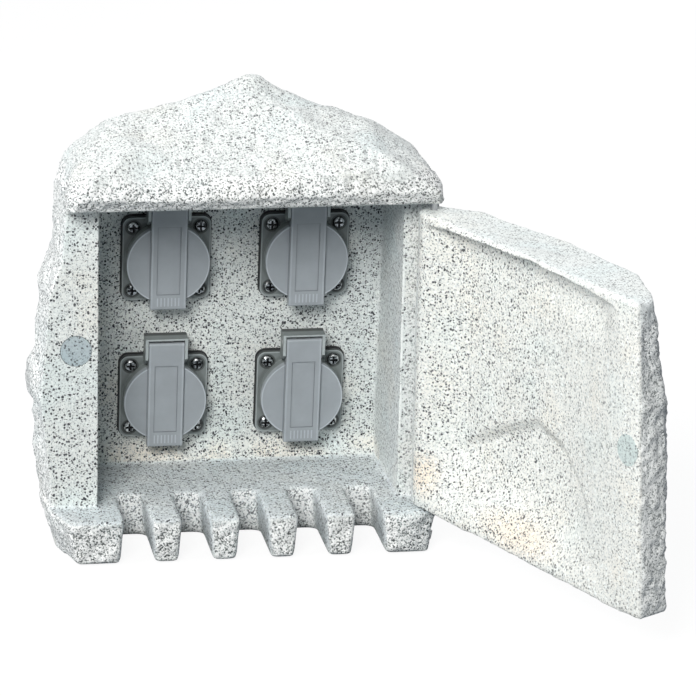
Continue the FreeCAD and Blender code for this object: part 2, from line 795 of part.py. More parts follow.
def build_door_fittings():
    """Magnets, pivot pins and the bushes that the pins turn in."""
    inner = dim.door_gap - dim.pivot_setback
    for name, front, across in (("jamb_magnet", jamb_front, dim.pivot_across - dim.magnet_along),
                                ("door_magnet", inner, dim.magnet_along)):
        body = turned(f"{name}_disc", "y", [
            (front + dim.magnet_sink * 0.5, 0.0),
            (front + dim.magnet_sink * 0.5, dim.magnet_radius - dim.magnet_fit),
            (front + dim.magnet_sink * 1.5, dim.magnet_radius),
            (front + dim.magnet_thickness, dim.magnet_radius), (front + dim.magnet_thickness, 0.0)])
        disc = group(name, place(body, across, 0.0, dim.magnet_height))
        piece(disc if name == "jamb_magnet" else place_on_door(disc), name)

    foot, head = dim.ledge_height + dim.door_sill, dim.opening_top - dim.door_head
    pins, bushes = [], []
    ends = (("lower", foot + dim.pivot_grip, dim.ledge_height - dim.pivot_reach, dim.ledge_height, -1),
            ("upper", head - dim.pivot_grip, dim.opening_top + dim.pivot_reach, dim.opening_top, 1))
    for name, start, end, face, way in ends:
        radius = dim.pivot_radius
        pins.append(turned(f"{name}_pivot_pin", "z", [
            (start, 0.0), (start, radius), (end - radius * 0.4 * way, radius),
            (end, radius * 0.6), (end, 0.0)]))
        bore = radius + dim.bush_fit
        collar = face + dim.bush_collar * way
        far = face + dim.bush_length * way
        bushes.append(turned(f"{name}_pivot_bush", "z", [
            (face, bore), (face, dim.bush_collar_radius), (collar, dim.bush_collar_radius),
            (collar, dim.bush_radius), (far, dim.bush_radius), (far, bore)]))
    piece(place_on_door(group("pivot_pins", *pins)), "pivot_pins")
    piece(place(group("pivot_bushes", *bushes), dim.pivot_across, hinge_place), "pivot_bushes")


def build_rear():
    """Cover, gasket and screws that close the wiring space."""
    seat, rim = dim.rear_seat, dim.rear_rim
    half = dim.rear_half + rim - dim.cover_gap
    low, high = dim.rear_floor - rim + dim.cover_gap, dim.rear_top + rim - dim.cover_gap
    corner = dim.cover_corner - dim.cover_gap
    inside = seat + dim.gasket_thickness
    outside = inside + dim.cover_thickness
    hole = dim.cover_screw_radius + dim.screw_clearance
    cover = square_plate("rear_cover", outside, half, low, high, dim.cover_thickness, corner)
    bore_back(cover, "cover_screw_holes", inside, dim.cover_thickness,
                 [(x, z, hole) for x, z in COVER_SCREWS])
    bore_back(cover, "gland_hole", inside, dim.cover_thickness,
                 [(0.0, dim.gland_height, dim.gland_thread_radius + dim.gland_fit)])
    piece(cover, "rear_cover")
    gasket = square_plate("rear_cover_gasket", inside, half, low, high, dim.gasket_thickness, corner)
    window = new_sketch(gasket, "gasket_window", "XZ_Plane", -seat)
    inner = dim.rear_half
    draw_outline(window, rectangle(-inner, inner, dim.rear_floor, dim.rear_top))
    extrude(gasket, "Pocket", "gasket_opening", window, dim.gasket_thickness)
    bore_back(gasket, "gasket_screw_holes", seat, dim.gasket_thickness,
              [(x, z, hole) for x, z in COVER_SCREWS])
    piece(gasket, "rear_cover_gasket")
    screws = [place(cross_screw(f"cover_screw_{number}", dim.cover_screw_head,
                                dim.cover_screw_head_height, dim.cover_screw_radius,
                                dim.cover_screw_length), x, outside, z, Z_AXIS, 180)
              for number, (x, z) in enumerate(COVER_SCREWS, 1)]
    piece(group("rear_cover_screws", *screws), "rear_cover_screws")
    return inside, outside


def hex_ring(name, start, length, bore, corner):
    """A six-sided ring along y with a round bore."""
    body = new_body(name)
    sketch = new_sketch(body, f"{name}_outline", "XZ_Plane", -start - length)
    flat = corner * cosine(dim.hex_angle)
    draw_outline(sketch, [(corner, 0.0), (corner * 0.5, flat), (corner * -0.5, flat),
                          (-corner, 0.0), (corner * -0.5, -flat), (corner * 0.5, -flat)])
    extrude(body, "Pad", f"{name}_pad", sketch, length)
    bore_back(body, f"{name}_bore", start, length, [(0.0, 0.0, bore)])
    return body


def build_gland(inside, outside):
    """The gland that grips the supply cable where it leaves the rear cover."""
    bore, thread = dim.gland_bore, dim.gland_thread_radius
    collar = outside + dim.gland_hex_length
    nose = collar + dim.gland_nose
    tube_body = tube("gland_stem", "y", inside - dim.gland_inner_length, collar, bore, thread)
    nose_body = tube("gland_nose_part", "y", collar, nose, bore, dim.gland_nose_radius)
    hexagon = hex_ring("gland_collar", outside, dim.gland_hex_length, thread, dim.gland_hex)
    stem = fuse("cable_gland", tube_body, nose_body, hexagon)
    piece(place(stem, 0.0, 0.0, dim.gland_height), "cable_gland")
    nut = hex_ring("gland_nut", inside - dim.gland_nut_length, dim.gland_nut_length,
                   thread + dim.gland_fit, dim.gland_hex)
    piece(place(nut, 0.0, 0.0, dim.gland_height), "gland_nut")
    room = nose + dim.gland_seal_depth + dim.gland_fit
    end = room + dim.gland_cap_end
    start = collar + dim.gland_fit
    cap_radius = dim.gland_cap_radius
    cap = turned("gland_cap", "y", [
        (start, dim.gland_nose_radius + dim.gland_fit), (start, cap_radius),
        (end - dim.gland_cap_end * 1.5, cap_radius), (end, cap_radius - dim.gland_cap_end * 1.5),
        (end, bore), (room, bore), (room, dim.gland_seal_radius + dim.gland_fit),
        (nose, dim.gland_seal_radius + dim.gland_fit), (nose, dim.gland_nose_radius + dim.gland_fit)])
    piece(place(cap, 0.0, 0.0, dim.gland_height), "gland_cap")
    seal = tube("gland_seal", "y", nose, room - dim.gland_fit, dim.gland_seal_bore, dim.gland_seal_radius)
    piece(place(seal, 0.0, 0.0, dim.gland_height), "gland_seal")


def on_wall(item, across, up):
    """Puts a piece drawn round a socket's middle onto the leaning wall."""
    depth = wall_front - up * sine(lean)
    height = dim.wall_centre_height + up * cosine(lean)
    return place(item, across, depth, height, X_AXIS, lean)


def corner_screws(radius):
    return [(x, z, radius) for x, z in SCREW_PLACES]


def build_socket_frame(name):
    """Flange, collar, cup and hinge hood of one socket, moulded in one."""
    body = new_body(f"{name}_frame")
    rear = -dim.socket_gasket
    front = rear - dim.flange_thickness
    half = dim.flange_side * 0.5
    flange = new_sketch(body, f"{name}_flange_outline", "XZ_Plane", -rear)
    draw_outline(flange, rectangle(-half, half, -half, half))
    plate = extrude(body, "Pad", f"{name}_flange", flange, dim.flange_thickness)
    side = float(dim.flange_thickness)
    round_edges(body, f"{name}_flange_corners", plate,
                lambda a, b: abs(a.x - b.x) < 0.01 and abs(abs(a.y - b.y) - side) < 0.01,
                dim.flange_corner)
    rim = front - dim.collar_height
    cup_end = dim.cup_depth + dim.cup_lip
    for part, start, radius, length in (
            ("collar", front, dim.collar_radius, dim.collar_height),
            ("cup", cup_end, dim.cup_radius, cup_end - rear)):
        ring = new_sketch(body, f"{name}_{part}_circle", "XZ_Plane", -start)
        draw_circle(ring, 0.0, 0.0, radius)
        extrude(body, "Pad", f"{name}_{part}", ring, length)

    top = dim.hood_underside + dim.hood_top
    profile = [(-dim.hood_front, top), (-dim.hood_front, dim.hood_chin), (-dim.hood_cheek, dim.hood_foot),
               (-dim.hood_root, dim.hood_foot), (-dim.hood_root, dim.hood_root_top),
               (-dim.hood_back, dim.hood_chin), (-dim.hood_back, top)]
    inner = dim.strip_half + dim.hood_gap
    outer = inner + dim.hood_wall
    for part, start in (("left_leg", -outer), ("right_leg", inner)):
        leg = new_sketch(body, f"{name}_{part}_profile", "YZ_Plane", start)
        draw_outline(leg, profile)
        extrude(body, "Pad", f"{name}_{part}", leg, dim.hood_wall)
    roof = new_sketch(body, f"{name}_hood_profile", "YZ_Plane")
    draw_outline(roof, rectangle(-dim.hood_front, -dim.hood_back, dim.hood_underside, top))
    extrude(body, "Pad", f"{name}_hood_roof", roof, outer * 2, both_sides=True)

    bore_back(body, f"{name}_recess", rim, dim.cup_depth - rim, [(0.0, 0.0, dim.recess_radius)])
    bore_back(body, f"{name}_cup_mouth", dim.cup_depth, dim.cup_lip, [(0.0, 0.0, dim.cup_mouth_radius)])
    bore_back(body, f"{name}_screw_holes", front, dim.flange_thickness,
              corner_screws(dim.screw_radius + dim.screw_clearance))
    bore_back(body, f"{name}_screw_seats", front, dim.screw_sink,
              corner_screws(dim.screw_head_radius + dim.screw_recess_gap))
    pin = new_sketch(body, f"{name}_pin_circle", "YZ_Plane")
    draw_circle(pin, -hinge_depth, dim.hinge_height, dim.hinge_pin_radius + dim.hinge_fixed_gap)
    extrude(body, "Pocket", f"{name}_pin_holes", pin, outer * 2, both_sides=True)
    return body


def build_socket_gasket(name):
    half = dim.flange_side * 0.5 + dim.gasket_margin
    body = square_plate(f"{name}_gasket", 0.0, half, -half, half, dim.socket_gasket,
                        dim.flange_corner + dim.gasket_margin)
    bore_back(body, f"{name}_gasket_holes", -dim.socket_gasket, dim.socket_gasket,
              corner_screws(dim.screw_radius + dim.screw_clearance)
              + [(0.0, 0.0, dim.cup_radius + dim.gasket_hole_gap)])
    return body


def build_insert(name):
    """The insulating bottom of the recess, with two contact holes and the earth clip's groove."""
    body = new_body(f"{name}_insert")
    front = recess_floor
    radius = dim.recess_radius - dim.insert_gap
    disc = new_sketch(body, f"{name}_insert_circle", "XZ_Plane", -dim.cup_depth)
    draw_circle(disc, 0.0, 0.0, radius)
    extrude(body, "Pad", f"{name}_insert_disc", disc, dim.cup_depth - front)
    across = dim.pin_spacing * 0.5
    places = (-across, across)
    bore_back(body, f"{name}_contact_holes", front, dim.pin_land,
              [(x, 0.0, dim.pin_hole_radius) for x in places])
    bore_back(body, f"{name}_sleeve_holes", front + dim.pin_land, dim.cup_depth - front - dim.pin_land,
              [(x, 0.0, dim.sleeve_radius + dim.sleeve_fit) for x in places])
    half = dim.earth_strap_width * 0.5 + dim.earth_strap_gap * 0.5
    inner = dim.earth_strap_half - dim.earth_strap_thickness - dim.earth_strap_gap * 0.5
    notch = new_sketch(body, f"{name}_notch_outlines", "XZ_Plane", -front)
    draw_outline(notch, rectangle(-half, half, inner, dim.cup_radius))
    draw_outline(notch, rectangle(-half, half, -dim.cup_radius, -inner))
    extrude(body, "Pocket", f"{name}_notches", notch, dim.cup_depth - front)
    groove = new_sketch(body, f"{name}_groove_outline", "XZ_Plane",
                        dim.earth_strap_thickness + dim.earth_strap_gap * 2 - dim.cup_depth)
    draw_outline(groove, rectangle(-half, half, -dim.cup_radius, dim.cup_radius))
    extrude(body, "Pocket", f"{name}_groove", groove, dim.cup_depth)
    return body


def build_earth_clip(name):
    """A sprung strap: two arms along the recess joined across the back of the insert."""
    body = new_body(f"{name}_earth_clip")
    back = dim.cup_depth - dim.earth_strap_gap
    thick = dim.earth_strap_thickness
    outer = dim.earth_strap_half
    tip = recess_floor - dim.earth_strap_reach
    strap = new_sketch(body, f"{name}_strap_profile", "YZ_Plane")
    draw_outline(strap, [(tip, outer), (back, outer), (back, -outer), (tip, -outer), (tip, thick - outer),
                         (back - thick, thick - outer), (back - thick, outer - thick),
                         (tip, outer - thick)])
    extrude(body, "Pad", f"{name}_strap", strap, dim.earth_strap_width, both_sides=True)
    return body


def build_sleeves(name):
    """Two brass sleeves that take the plug's pins, each with a small bore for its wire."""
    start = recess_floor + dim.pin_land
    step, end = start + dim.sleeve_bore_depth, start + dim.sleeve_length
    wire = dim.wire_radius + dim.wire_fit
    sleeves = []
    for side, across in (("line", dim.pin_spacing * -0.5), ("neutral", dim.pin_spacing * 0.5)):
        sleeve = turned(f"{name}_{side}_sleeve", "y", [
            (start, dim.sleeve_bore), (start, dim.sleeve_radius), (end, dim.sleeve_radius), (end, wire),
            (step, wire), (step, dim.sleeve_bore)])
        sleeves.append(place(sleeve, across))
    return group(f"{name}_sleeves", *sleeves)


def build_lid(name):
    """The sprung lid: a disc over the recess with a raised strip that runs up to the hinge."""
    body = new_body(f"{name}_lid")
    back = lid_back
    disc = new_sketch(body, f"{name}_lid_circle", "XZ_Plane", -back)
    draw_circle(disc, 0.0, 0.0, dim.lid_radius)
    extrude(body, "Pad", f"{name}_lid_disc", disc, dim.lid_thickness)
    front = back - dim.lid_thickness - dim.strip_rise
    strip = new_sketch(body, f"{name}_strip_profile", "YZ_Plane")
    draw_outline(strip, rectangle(front, back, -dim.strip_bottom, dim.strip_top))
    padded = extrude(body, "Pad", f"{name}_strip", strip, dim.strip_half * 2, both_sides=True)
    face, high, low = float(front), float(dim.strip_top), -float(dim.strip_bottom)

    def strip_end(a, b):
        level = abs(a.z - b.z) < 0.01 and min(abs(a.z - high), abs(a.z - low)) < 0.01
        return level and abs(a.y - face) < 0.01 and abs(b.y - face) < 0.01

    round_edges(body, f"{name}_strip_ends", padded, strip_end, dim.strip_round)
    panel = new_sketch(body, f"{name}_panel_outline", "XZ_Plane", -front)
    draw_outline(panel, rectangle(-dim.panel_half, dim.panel_half, -dim.panel_low, dim.panel_high))
    extrude(body, "Pocket", f"{name}_panel", panel, dim.panel_depth)
    rib = new_sketch(body, f"{name}_rib_outline", "XZ_Plane", -front)
    first = (dim.rib_count - 1) * -0.5 * dim.rib_pitch
    half = dim.rib_width * 0.5
    draw_outline(rib, rectangle(first - half, first + half, -dim.rib_low, -dim.rib_high))
    rib_pad = extrude(body, "Pad", f"{name}_rib", rib, dim.rib_rise)
    repeat_along(body, f"{name}_ribs", rib_pad, "X_Axis", dim.rib_pitch, dim.rib_count)
    hollow = new_sketch(body, f"{name}_hollow_circle", "XZ_Plane", -back)
    draw_circle(hollow, 0.0, 0.0, dim.lid_hollow_radius)
    extrude(body, "Pocket", f"{name}_hollow", hollow, dim.lid_hollow_depth, reversed_way=True)
    groove = new_sketch(body, f"{name}_seal_groove_circles", "XZ_Plane", -back)
    draw_circle(groove, 0.0, 0.0, dim.seal_radius + dim.seal_groove_gap)
    draw_circle(groove, 0.0, 0.0, dim.seal_radius - dim.seal_width - dim.seal_groove_gap)
    extrude(body, "Pocket", f"{name}_seal_groove", groove, back - seal_bottom, reversed_way=True)
    for part, radius, length in (
            ("hinge_bore", dim.hinge_pin_radius + dim.hinge_running_gap, dim.strip_half * 2),
            ("spring_room", dim.spring_radius + dim.spring_gap, dim.spring_length + dim.spring_gap * 2)):
        circle = new_sketch(body, f"{name}_{part}_circle", "YZ_Plane")
        draw_circle(circle, -hinge_depth, dim.hinge_height, radius)
        extrude(body, "Pocket", f"{name}_{part}", circle, length, both_sides=True)
    return body


def build_socket(name, across, up):
    """Every piece of one socket, set on the wall."""
    piece(on_wall(build_socket_frame(name), across, up), f"{name}_socket_frame")
    piece(on_wall(build_socket_gasket(name), across, up), f"{name}_socket_gasket")
    piece(on_wall(build_insert(name), across, up), f"{name}_socket_insert")
    piece(on_wall(build_earth_clip(name), across, up), f"{name}_earth_clip")
    piece(on_wall(build_sleeves(name), across, up), f"{name}_contact_sleeves")
    piece(on_wall(build_lid(name), across, up), f"{name}_lid")
    seal = tube(f"{name}_seal_ring", "y", seal_bottom, seal_bottom + dim.seal_height,
                dim.seal_radius - dim.seal_width, dim.seal_radius)
    piece(on_wall(seal, across, up), f"{name}_lid_seal")
    half = dim.strip_half + dim.hood_gap + dim.hood_wall
    for part, inner, outer, reach in (("hinge_pin", 0.0, dim.hinge_pin_radius, half),
                                      ("lid_spring", dim.spring_bore, dim.spring_radius,
                                       dim.spring_length * 0.5)):
        bar = tube(f"{name}_{part}_bar", "x", -reach, reach, inner, outer)
        held = group(f"{name}_{part}", place(bar, 0.0, -hinge_depth, dim.hinge_height))
        piece(on_wall(held, across, up), f"{name}_{part}")


def build_flange_screws():
    """Sixteen screws that hold the four sockets to the wall."""
    seat = dim.screw_sink - dim.socket_gasket - dim.flange_thickness
    sets = []
    for name, (across, up) in zip(SOCKET_NAMES, SOCKETS):
        screws = []
        for number, (x, z) in enumerate(SCREW_PLACES, 1):
            screw = cross_screw(f"{name}_screw_{number}", dim.screw_head_radius, dim.screw_head_height,
                                dim.screw_radius, dim.screw_length)
            screws.append(place(screw, x, seat, z))
        sets.append(on_wall(group(f"{name}_screws", *screws), across, up))
    piece(group("flange_screws", *sets), "flange_screws")


def slotted_screw(name, shank, height):
    """A headless screw that stands upright, with a slot across its top."""
    body = turned(name, "z", [(0.0, 0.0), (0.0, shank), (height, shank), (height, 0.0)])
    slot = new_sketch(body, f"{name}_slot_outline", "XY_Plane", height)
    half = dim.terminal_slot_width * 0.5
    draw_outline(slot, rectangle(-shank - half, shank + half, -half, half))
    extrude(body, "Pocket", f"{name}_slot", slot, dim.terminal_slot_depth)
    return body


def build_terminals():
    """Two clamp blocks on the floor of the wiring space, one for each column of sockets."""
    floor = dim.rear_floor
    top = floor + dim.terminal_height
    half = dim.terminal_length * 0.5
    blocks, screws = [], []
    for side, middle in zip(("left", "right"), (SOCKETS[0][0], SOCKETS[1][0])):
        body = new_body(f"{side}_terminal_block")
        base = new_sketch(body, f"{side}_block_outline", "XY_Plane", floor)
        draw_outline(base, rectangle(-half, half, dim.terminal_front, dim.terminal_back))
        extrude(body, "Pad", f"{side}_block", base, dim.terminal_height)
        entries = new_sketch(body, f"{side}_wire_circles", "XY_Plane", top)
        shafts = new_sketch(body, f"{side}_clamp_circles", "XY_Plane", top)
        for number, step in enumerate((-1, 0, 1), 1):
            x = dim.terminal_pitch * step
            wire = dim.wire_radius + dim.wire_fit
            draw_circle(entries, x, dim.wire_lower_line, wire)
            draw_circle(entries, x + dim.wire_upper_shift, dim.wire_upper_line, wire)
            draw_circle(shafts, x, dim.terminal_screw_line, dim.terminal_screw_radius + dim.screw_clearance)
            screw = slotted_screw(f"{side}_clamp_screw_{number}", dim.terminal_screw_radius,
                                  dim.terminal_screw_height)
            screws.append(place(screw, middle + x, dim.terminal_screw_line,
                                top - dim.terminal_screw_sink - dim.terminal_screw_height))
        extrude(body, "Pocket", f"{side}_wire_entries", entries, dim.wire_entry)
        extrude(body, "Pocket", f"{side}_clamp_shafts", shafts,
                dim.terminal_screw_sink + dim.terminal_screw_height)
        blocks.append(place(body, middle))
    piece(group("terminal_blocks", *blocks), "terminal_blocks")
    piece(group("terminal_screws", *screws), "terminal_screws")


NO_SHIFT = 0.0


def build_wire(name, across, up, offset, start, line, shift):
    """One wire from a socket back to its line, across by the shift and down into the block."""
    radius = dim.wire_radius
    depth = wall_front - up * sine(lean) + start * cosine(lean)
    height = dim.wall_centre_height + up * cosine(lean) + start * sine(lean)
    x = across + offset
    run = (line - depth) / cosine(lean)
    bend = height + run * sine(lean)
    end = dim.rear_floor + dim.terminal_height - dim.wire_entry + dim.wire_fit
    parts = [cylinder(f"{name}_back", radius, run, x, depth, height, X_AXIS, lean - 90),
             place(solid("Sphere", f"{name}_bend", Radius=radius), x, line, bend),
             cylinder(f"{name}_down", radius, bend - end, x + shift, line, end)]
    if shift is not NO_SHIFT:
        parts.append(cylinder(f"{name}_across", radius, shift, x, line, bend, Y_AXIS, 90))
        parts.append(place(solid("Sphere", f"{name}_corner", Radius=radius), x + shift, line, bend))
    return fuse(name, *parts)


def build_wiring():
    """Line, neutral and earth wires of the four sockets."""
    sleeve = recess_floor + dim.pin_land + dim.sleeve_bore_depth + dim.wire_fit
    clip = dim.cup_depth - dim.earth_strap_gap + dim.wire_fit
    for kind, offset, start in (("line", dim.pin_spacing * -0.5, sleeve),
                                ("neutral", dim.pin_spacing * 0.5, sleeve),
                                ("earth", dim.pin_spacing * 0, clip)):
        wires = []
        for name, (across, up) in zip(SOCKET_NAMES, SOCKETS):
            upper = name.startswith("top")
            line = dim.wire_upper_line if upper else dim.wire_lower_line
            shift = dim.wire_upper_shift if upper else NO_SHIFT
            wires.append(build_wire(f"{name}_{kind}_wire", across, up, offset, start, line, shift))
        piece(group(f"{kind}_wiring", *wires), f"{kind}_wiring")


def build_base_screws():
    """Four screws that hold the rock to its ledge from below."""
    seat = dim.base_screw_sink + dim.base_screw_head_height
    screws = []
    for number, (x, y) in enumerate(BASE_SCREWS, 1):
        head, shank = dim.base_screw_head, dim.base_screw_radius
        body = turned(f"base_screw_{number}_body", "z", [
            (dim.base_screw_sink, 0.0), (dim.base_screw_sink, head), (seat, head), (seat, shank),
            (seat + dim.base_screw_length - shank, shank),
            (seat + dim.base_screw_length, shank * 0.3), (seat + dim.base_screw_length, 0.0)])
        cross_recess(body, f"base_screw_{number}", "XY_Plane", dim.base_screw_sink, head, True)
        screws.append(place(body, x, y))
    piece(group("base_screws", *screws), "base_screws")


def check_and_write():
    """Stops on any broken object, then writes each piece to its own file."""
    doc.recompute()
    for item in doc.Objects:
        if "Invalid" in item.State or "Error" in item.State:
            raise RuntimeError(f"{item.Name} did not build: {item.State}")
    os.makedirs("parts", exist_ok=True)
    for item in PIECES:
        if item.Shape.isNull() or not item.Shape.isValid() or not item.Shape.Solids:
            raise RuntimeError(f"{item.Label} has no valid solid")
        item.Shape.exportStep(f"parts/{item.Label}.step")


build_ledge()
build_housing()
build_door()
build_door_fittings()
build_gland(*build_rear())
for socket_name, (socket_across, socket_up) in zip(SOCKET_NAMES, SOCKETS):
    build_socket(socket_name, socket_across, socket_up)
build_flange_screws()
build_terminals()
build_wiring()
build_base_screws()
check_and_write()
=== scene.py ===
"""Looks of a garden power distributor cast as an artificial rock. Metres, in the CAD's frame."""

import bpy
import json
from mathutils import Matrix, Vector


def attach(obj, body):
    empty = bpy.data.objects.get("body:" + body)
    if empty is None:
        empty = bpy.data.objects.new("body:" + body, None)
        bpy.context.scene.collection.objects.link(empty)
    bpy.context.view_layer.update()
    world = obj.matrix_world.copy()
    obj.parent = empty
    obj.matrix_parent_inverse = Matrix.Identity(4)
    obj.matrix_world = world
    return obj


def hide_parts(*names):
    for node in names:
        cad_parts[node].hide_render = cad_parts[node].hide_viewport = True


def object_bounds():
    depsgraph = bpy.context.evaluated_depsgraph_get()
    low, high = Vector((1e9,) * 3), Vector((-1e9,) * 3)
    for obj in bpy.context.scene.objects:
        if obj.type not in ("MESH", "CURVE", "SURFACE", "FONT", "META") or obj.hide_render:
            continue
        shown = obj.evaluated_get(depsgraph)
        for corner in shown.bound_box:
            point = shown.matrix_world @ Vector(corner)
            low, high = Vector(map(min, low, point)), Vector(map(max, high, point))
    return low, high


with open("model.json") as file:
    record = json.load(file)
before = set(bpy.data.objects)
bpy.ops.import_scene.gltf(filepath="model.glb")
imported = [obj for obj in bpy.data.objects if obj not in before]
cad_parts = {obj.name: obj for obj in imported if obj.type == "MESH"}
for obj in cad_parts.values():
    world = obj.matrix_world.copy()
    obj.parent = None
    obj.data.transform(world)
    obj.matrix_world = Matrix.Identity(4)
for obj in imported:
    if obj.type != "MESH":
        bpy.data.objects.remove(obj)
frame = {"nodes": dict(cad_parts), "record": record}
cad_box = [[float(number) for number in corner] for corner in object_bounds()]

import json
import math
from itertools import product

import bpy
import numpy as np
from mathutils import Matrix, Vector
from mathutils.bvhtree import BVHTree

MM = 0.001
WHITE = (1.0, 1.0, 1.0)
scene = bpy.context.scene


# camera and lamps

VIEW_AZIMUTH, VIEW_ELEVATION, VIEW_ROLL = -10.08, 17.62, 1.29
VIEW_AIM = (66.9, 15.5, 90.8)
VIEW_AWAY = 2454.75
FOCAL_PIXELS, IMAGE_PIXELS = 4300.0, 696.0
SENSOR_WIDTH = 36.0
LAMP_AIM = (0.02, -0.05, 0.11)
LAMP_AWAY = 2.2
# each lamp's azimuth, elevation, size, level and colour
LAMPS = {
    "front_lamp": (-24, 33, 0.8, 0.86, (1.0, 0.995, 0.965)),
    "side_lamp": (-80, 26, 1.5, 0.56, WHITE),
    "top_lamp": (150, 62, 1.2, 0.34, WHITE),
    "back_lamp": (132, 24, 1.6, 0.26, WHITE),
}


def looking(azimuth, elevation):
    """The way from the object to something that stands off it; azimuth 0 is in front."""
    turn, lift = math.radians(azimuth), math.radians(elevation)
    return Vector((math.sin(turn) * math.cos(lift), -math.cos(turn) * math.cos(lift), math.sin(lift)))


def make_camera():
    back = looking(VIEW_AZIMUTH, VIEW_ELEVATION)
    right = (-back).cross(Vector((0, 0, 1))).normalized()
    up = right.cross(-back)
    roll = math.radians(VIEW_ROLL)
    across = math.cos(roll) * right + math.sin(roll) * up
    above = math.cos(roll) * up - math.sin(roll) * right
    data = bpy.data.cameras.new("camera")
    data.sensor_width = SENSOR_WIDTH
    data.lens = FOCAL_PIXELS * SENSOR_WIDTH / IMAGE_PIXELS
    data.clip_start, data.clip_end = 0.1, 50.0
    camera = bpy.data.objects.new("camera", data)
    scene.collection.objects.link(camera)
    camera.location = Vector(VIEW_AIM) * MM + back * VIEW_AWAY * MM
    camera.rotation_mode = "QUATERNION"
    camera.rotation_quaternion = Matrix((across, above, back)).transposed().to_quaternion()
    scene.camera = camera


def make_lamp(name, azimuth, elevation, size, level, colour):
    """A soft square lamp; level 1 lights a white face that is square to it fully."""
    data = bpy.data.lights.new(name, "AREA")
    data.size = size
    data.energy = math.pi ** 2 * LAMP_AWAY ** 2 * level
    data.color = colour
    lamp = bpy.data.objects.new(name, data)
    scene.collection.objects.link(lamp)
    way = looking(azimuth, elevation)
    lamp.location = Vector(LAMP_AIM) + way * LAMP_AWAY
    lamp.rotation_mode = "QUATERNION"
    lamp.rotation_quaternion = way.to_track_quat("Z", "Y")


# shader values as Python expressions

class Wire:
    """A value in a shader: a node's output, joined to others and to plain numbers by arithmetic."""

    def __init__(self, tree, socket):
        self.tree = tree
        self.socket = socket

    def add(self, kind, settings=None, inputs=None, output=0):
        """Any node: its type, its settings, then the numbers, colours or wires of its inputs."""
        node = self.tree.nodes.new(f"ShaderNode{kind}")
        for name, value in (settings or {}).items():
            setattr(node, name, value)
        for name, value in (inputs or {}).items():
            if isinstance(value, Wire):
                self.tree.links.new(value.socket, node.inputs[name])
            else:
                node.inputs[name].default_value = value
        return Wire(self.tree, node.outputs[output])

    def beside(self, name):
        """Another output of the node that this value comes from."""
        return Wire(self.tree, self.socket.node.outputs[name])

    def calculate(self, operation, *values, clamp=False):
        return self.add("Math", {"operation": operation, "use_clamp": clamp}, dict(enumerate(values)))

    def __add__(self, other):
        return self.calculate("ADD", self, other)

    def __radd__(self, other):
        return self.calculate("ADD", other, self)

    def __sub__(self, other):
        return self.calculate("SUBTRACT", self, other)

    def __rsub__(self, other):
        return self.calculate("SUBTRACT", other, self)

    def __mul__(self, other):
        return self.calculate("MULTIPLY", self, other)

    def __rmul__(self, other):
        return self.calculate("MULTIPLY", other, self)

    def __gt__(self, other):
        return self.calculate("GREATER_THAN", self, other)

    def __lt__(self, other):
        return self.calculate("LESS_THAN", self, other)

    def __abs__(self):
        return self.calculate("ABSOLUTE", self)

    def clamped(self):
        return self.calculate("ADD", self, 0.0, clamp=True)

    def over(self, other):
        """The larger of two values."""
        return self.calculate("MAXIMUM", self, other)

    def to_length(self, other):
        """The length of a right-angled pair of distances."""
        return self.calculate("SQRT", self * self + other * other)

    def line(self, middle, half, soft=0.12):
        """1 within half a width of the middle value and 0 away from it."""
        return (half - abs(self - middle)).step(-soft, soft)

    def step(self, start, end):
        """0 below the start and 1 above the end, with a smooth rise between."""
        return self.add("MapRange", {"interpolation_type": "SMOOTHSTEP"},
                        {"Value": self, "From Min": start, "From Max": end})

    def blend(self, low, high):
        """The low colour where this is 0 and the high one where it is 1."""
        return self.add("Mix", {"data_type": "RGBA"}, {0: self, 6: full(low), 7: full(high)}, 2)

    def vector(self, operation, inputs):
        return self.add("VectorMath", {"operation": operation}, {0: self, **inputs})

    def noise(self, size, detail=2.0, roughness=0.5, seed=0.0):
        """Soft noise over this place, with lumps of about the given size in metres."""
        return self.add("TexNoise", {"noise_dimensions": "4D"},
                        {"Vector": self, "Scale": 1.0 / size, "Detail": detail,
                         "Roughness": roughness, "W": seed})

    def attribute(self, name):
        """A value stored at the mesh's points."""
        return self.add("Attribute", {"attribute_name": name}, output="Fac")

    def bumps(self, deep):
        """The surface's normal with this height on it, at most so many millimetres deep."""
        return self.add("Bump", None, {"Strength": 1.0, "Distance": deep * MM, "Height": self})


def full(colour):
    return colour if isinstance(colour, Wire) else (*colour, 1.0)


def scaled(colour, factor):
    """A lighter or darker colour, at most white."""
    return tuple(min(1.0, factor * part) for part in colour)


def tinted(colour, tint):
    return tuple(part * share for part, share in zip(colour, tint))


def start_material(name):
    """An empty material, the place on the object as a wire, and the node that shows it."""
    material = bpy.data.materials.new(name)
    material.use_nodes = True
    tree = material.node_tree
    tree.nodes.clear()
    output = tree.nodes.new("ShaderNodeOutputMaterial")
    place = Wire(tree, None).add("TexCoord", output="Object")
    return material, place, output


def finish_material(place, output, inputs):
    shader = place.add("BsdfPrincipled", None, inputs)
    place.tree.links.new(shader.socket, output.inputs["Surface"])


# floor and surround

FLOOR_REACH = 6.0
FLOOR_DROP = 0.0005
FLOOR_BOUNCE, FLOOR_SEEN = (0.21, 0.23, 0.25), (0.9, 0.9, 0.9)
FLOOR_GLOW, FLOOR_GLOW_SHARE = 1.05, 0.86
SURROUND_LIGHT = (0.078, 0.088, 0.102)


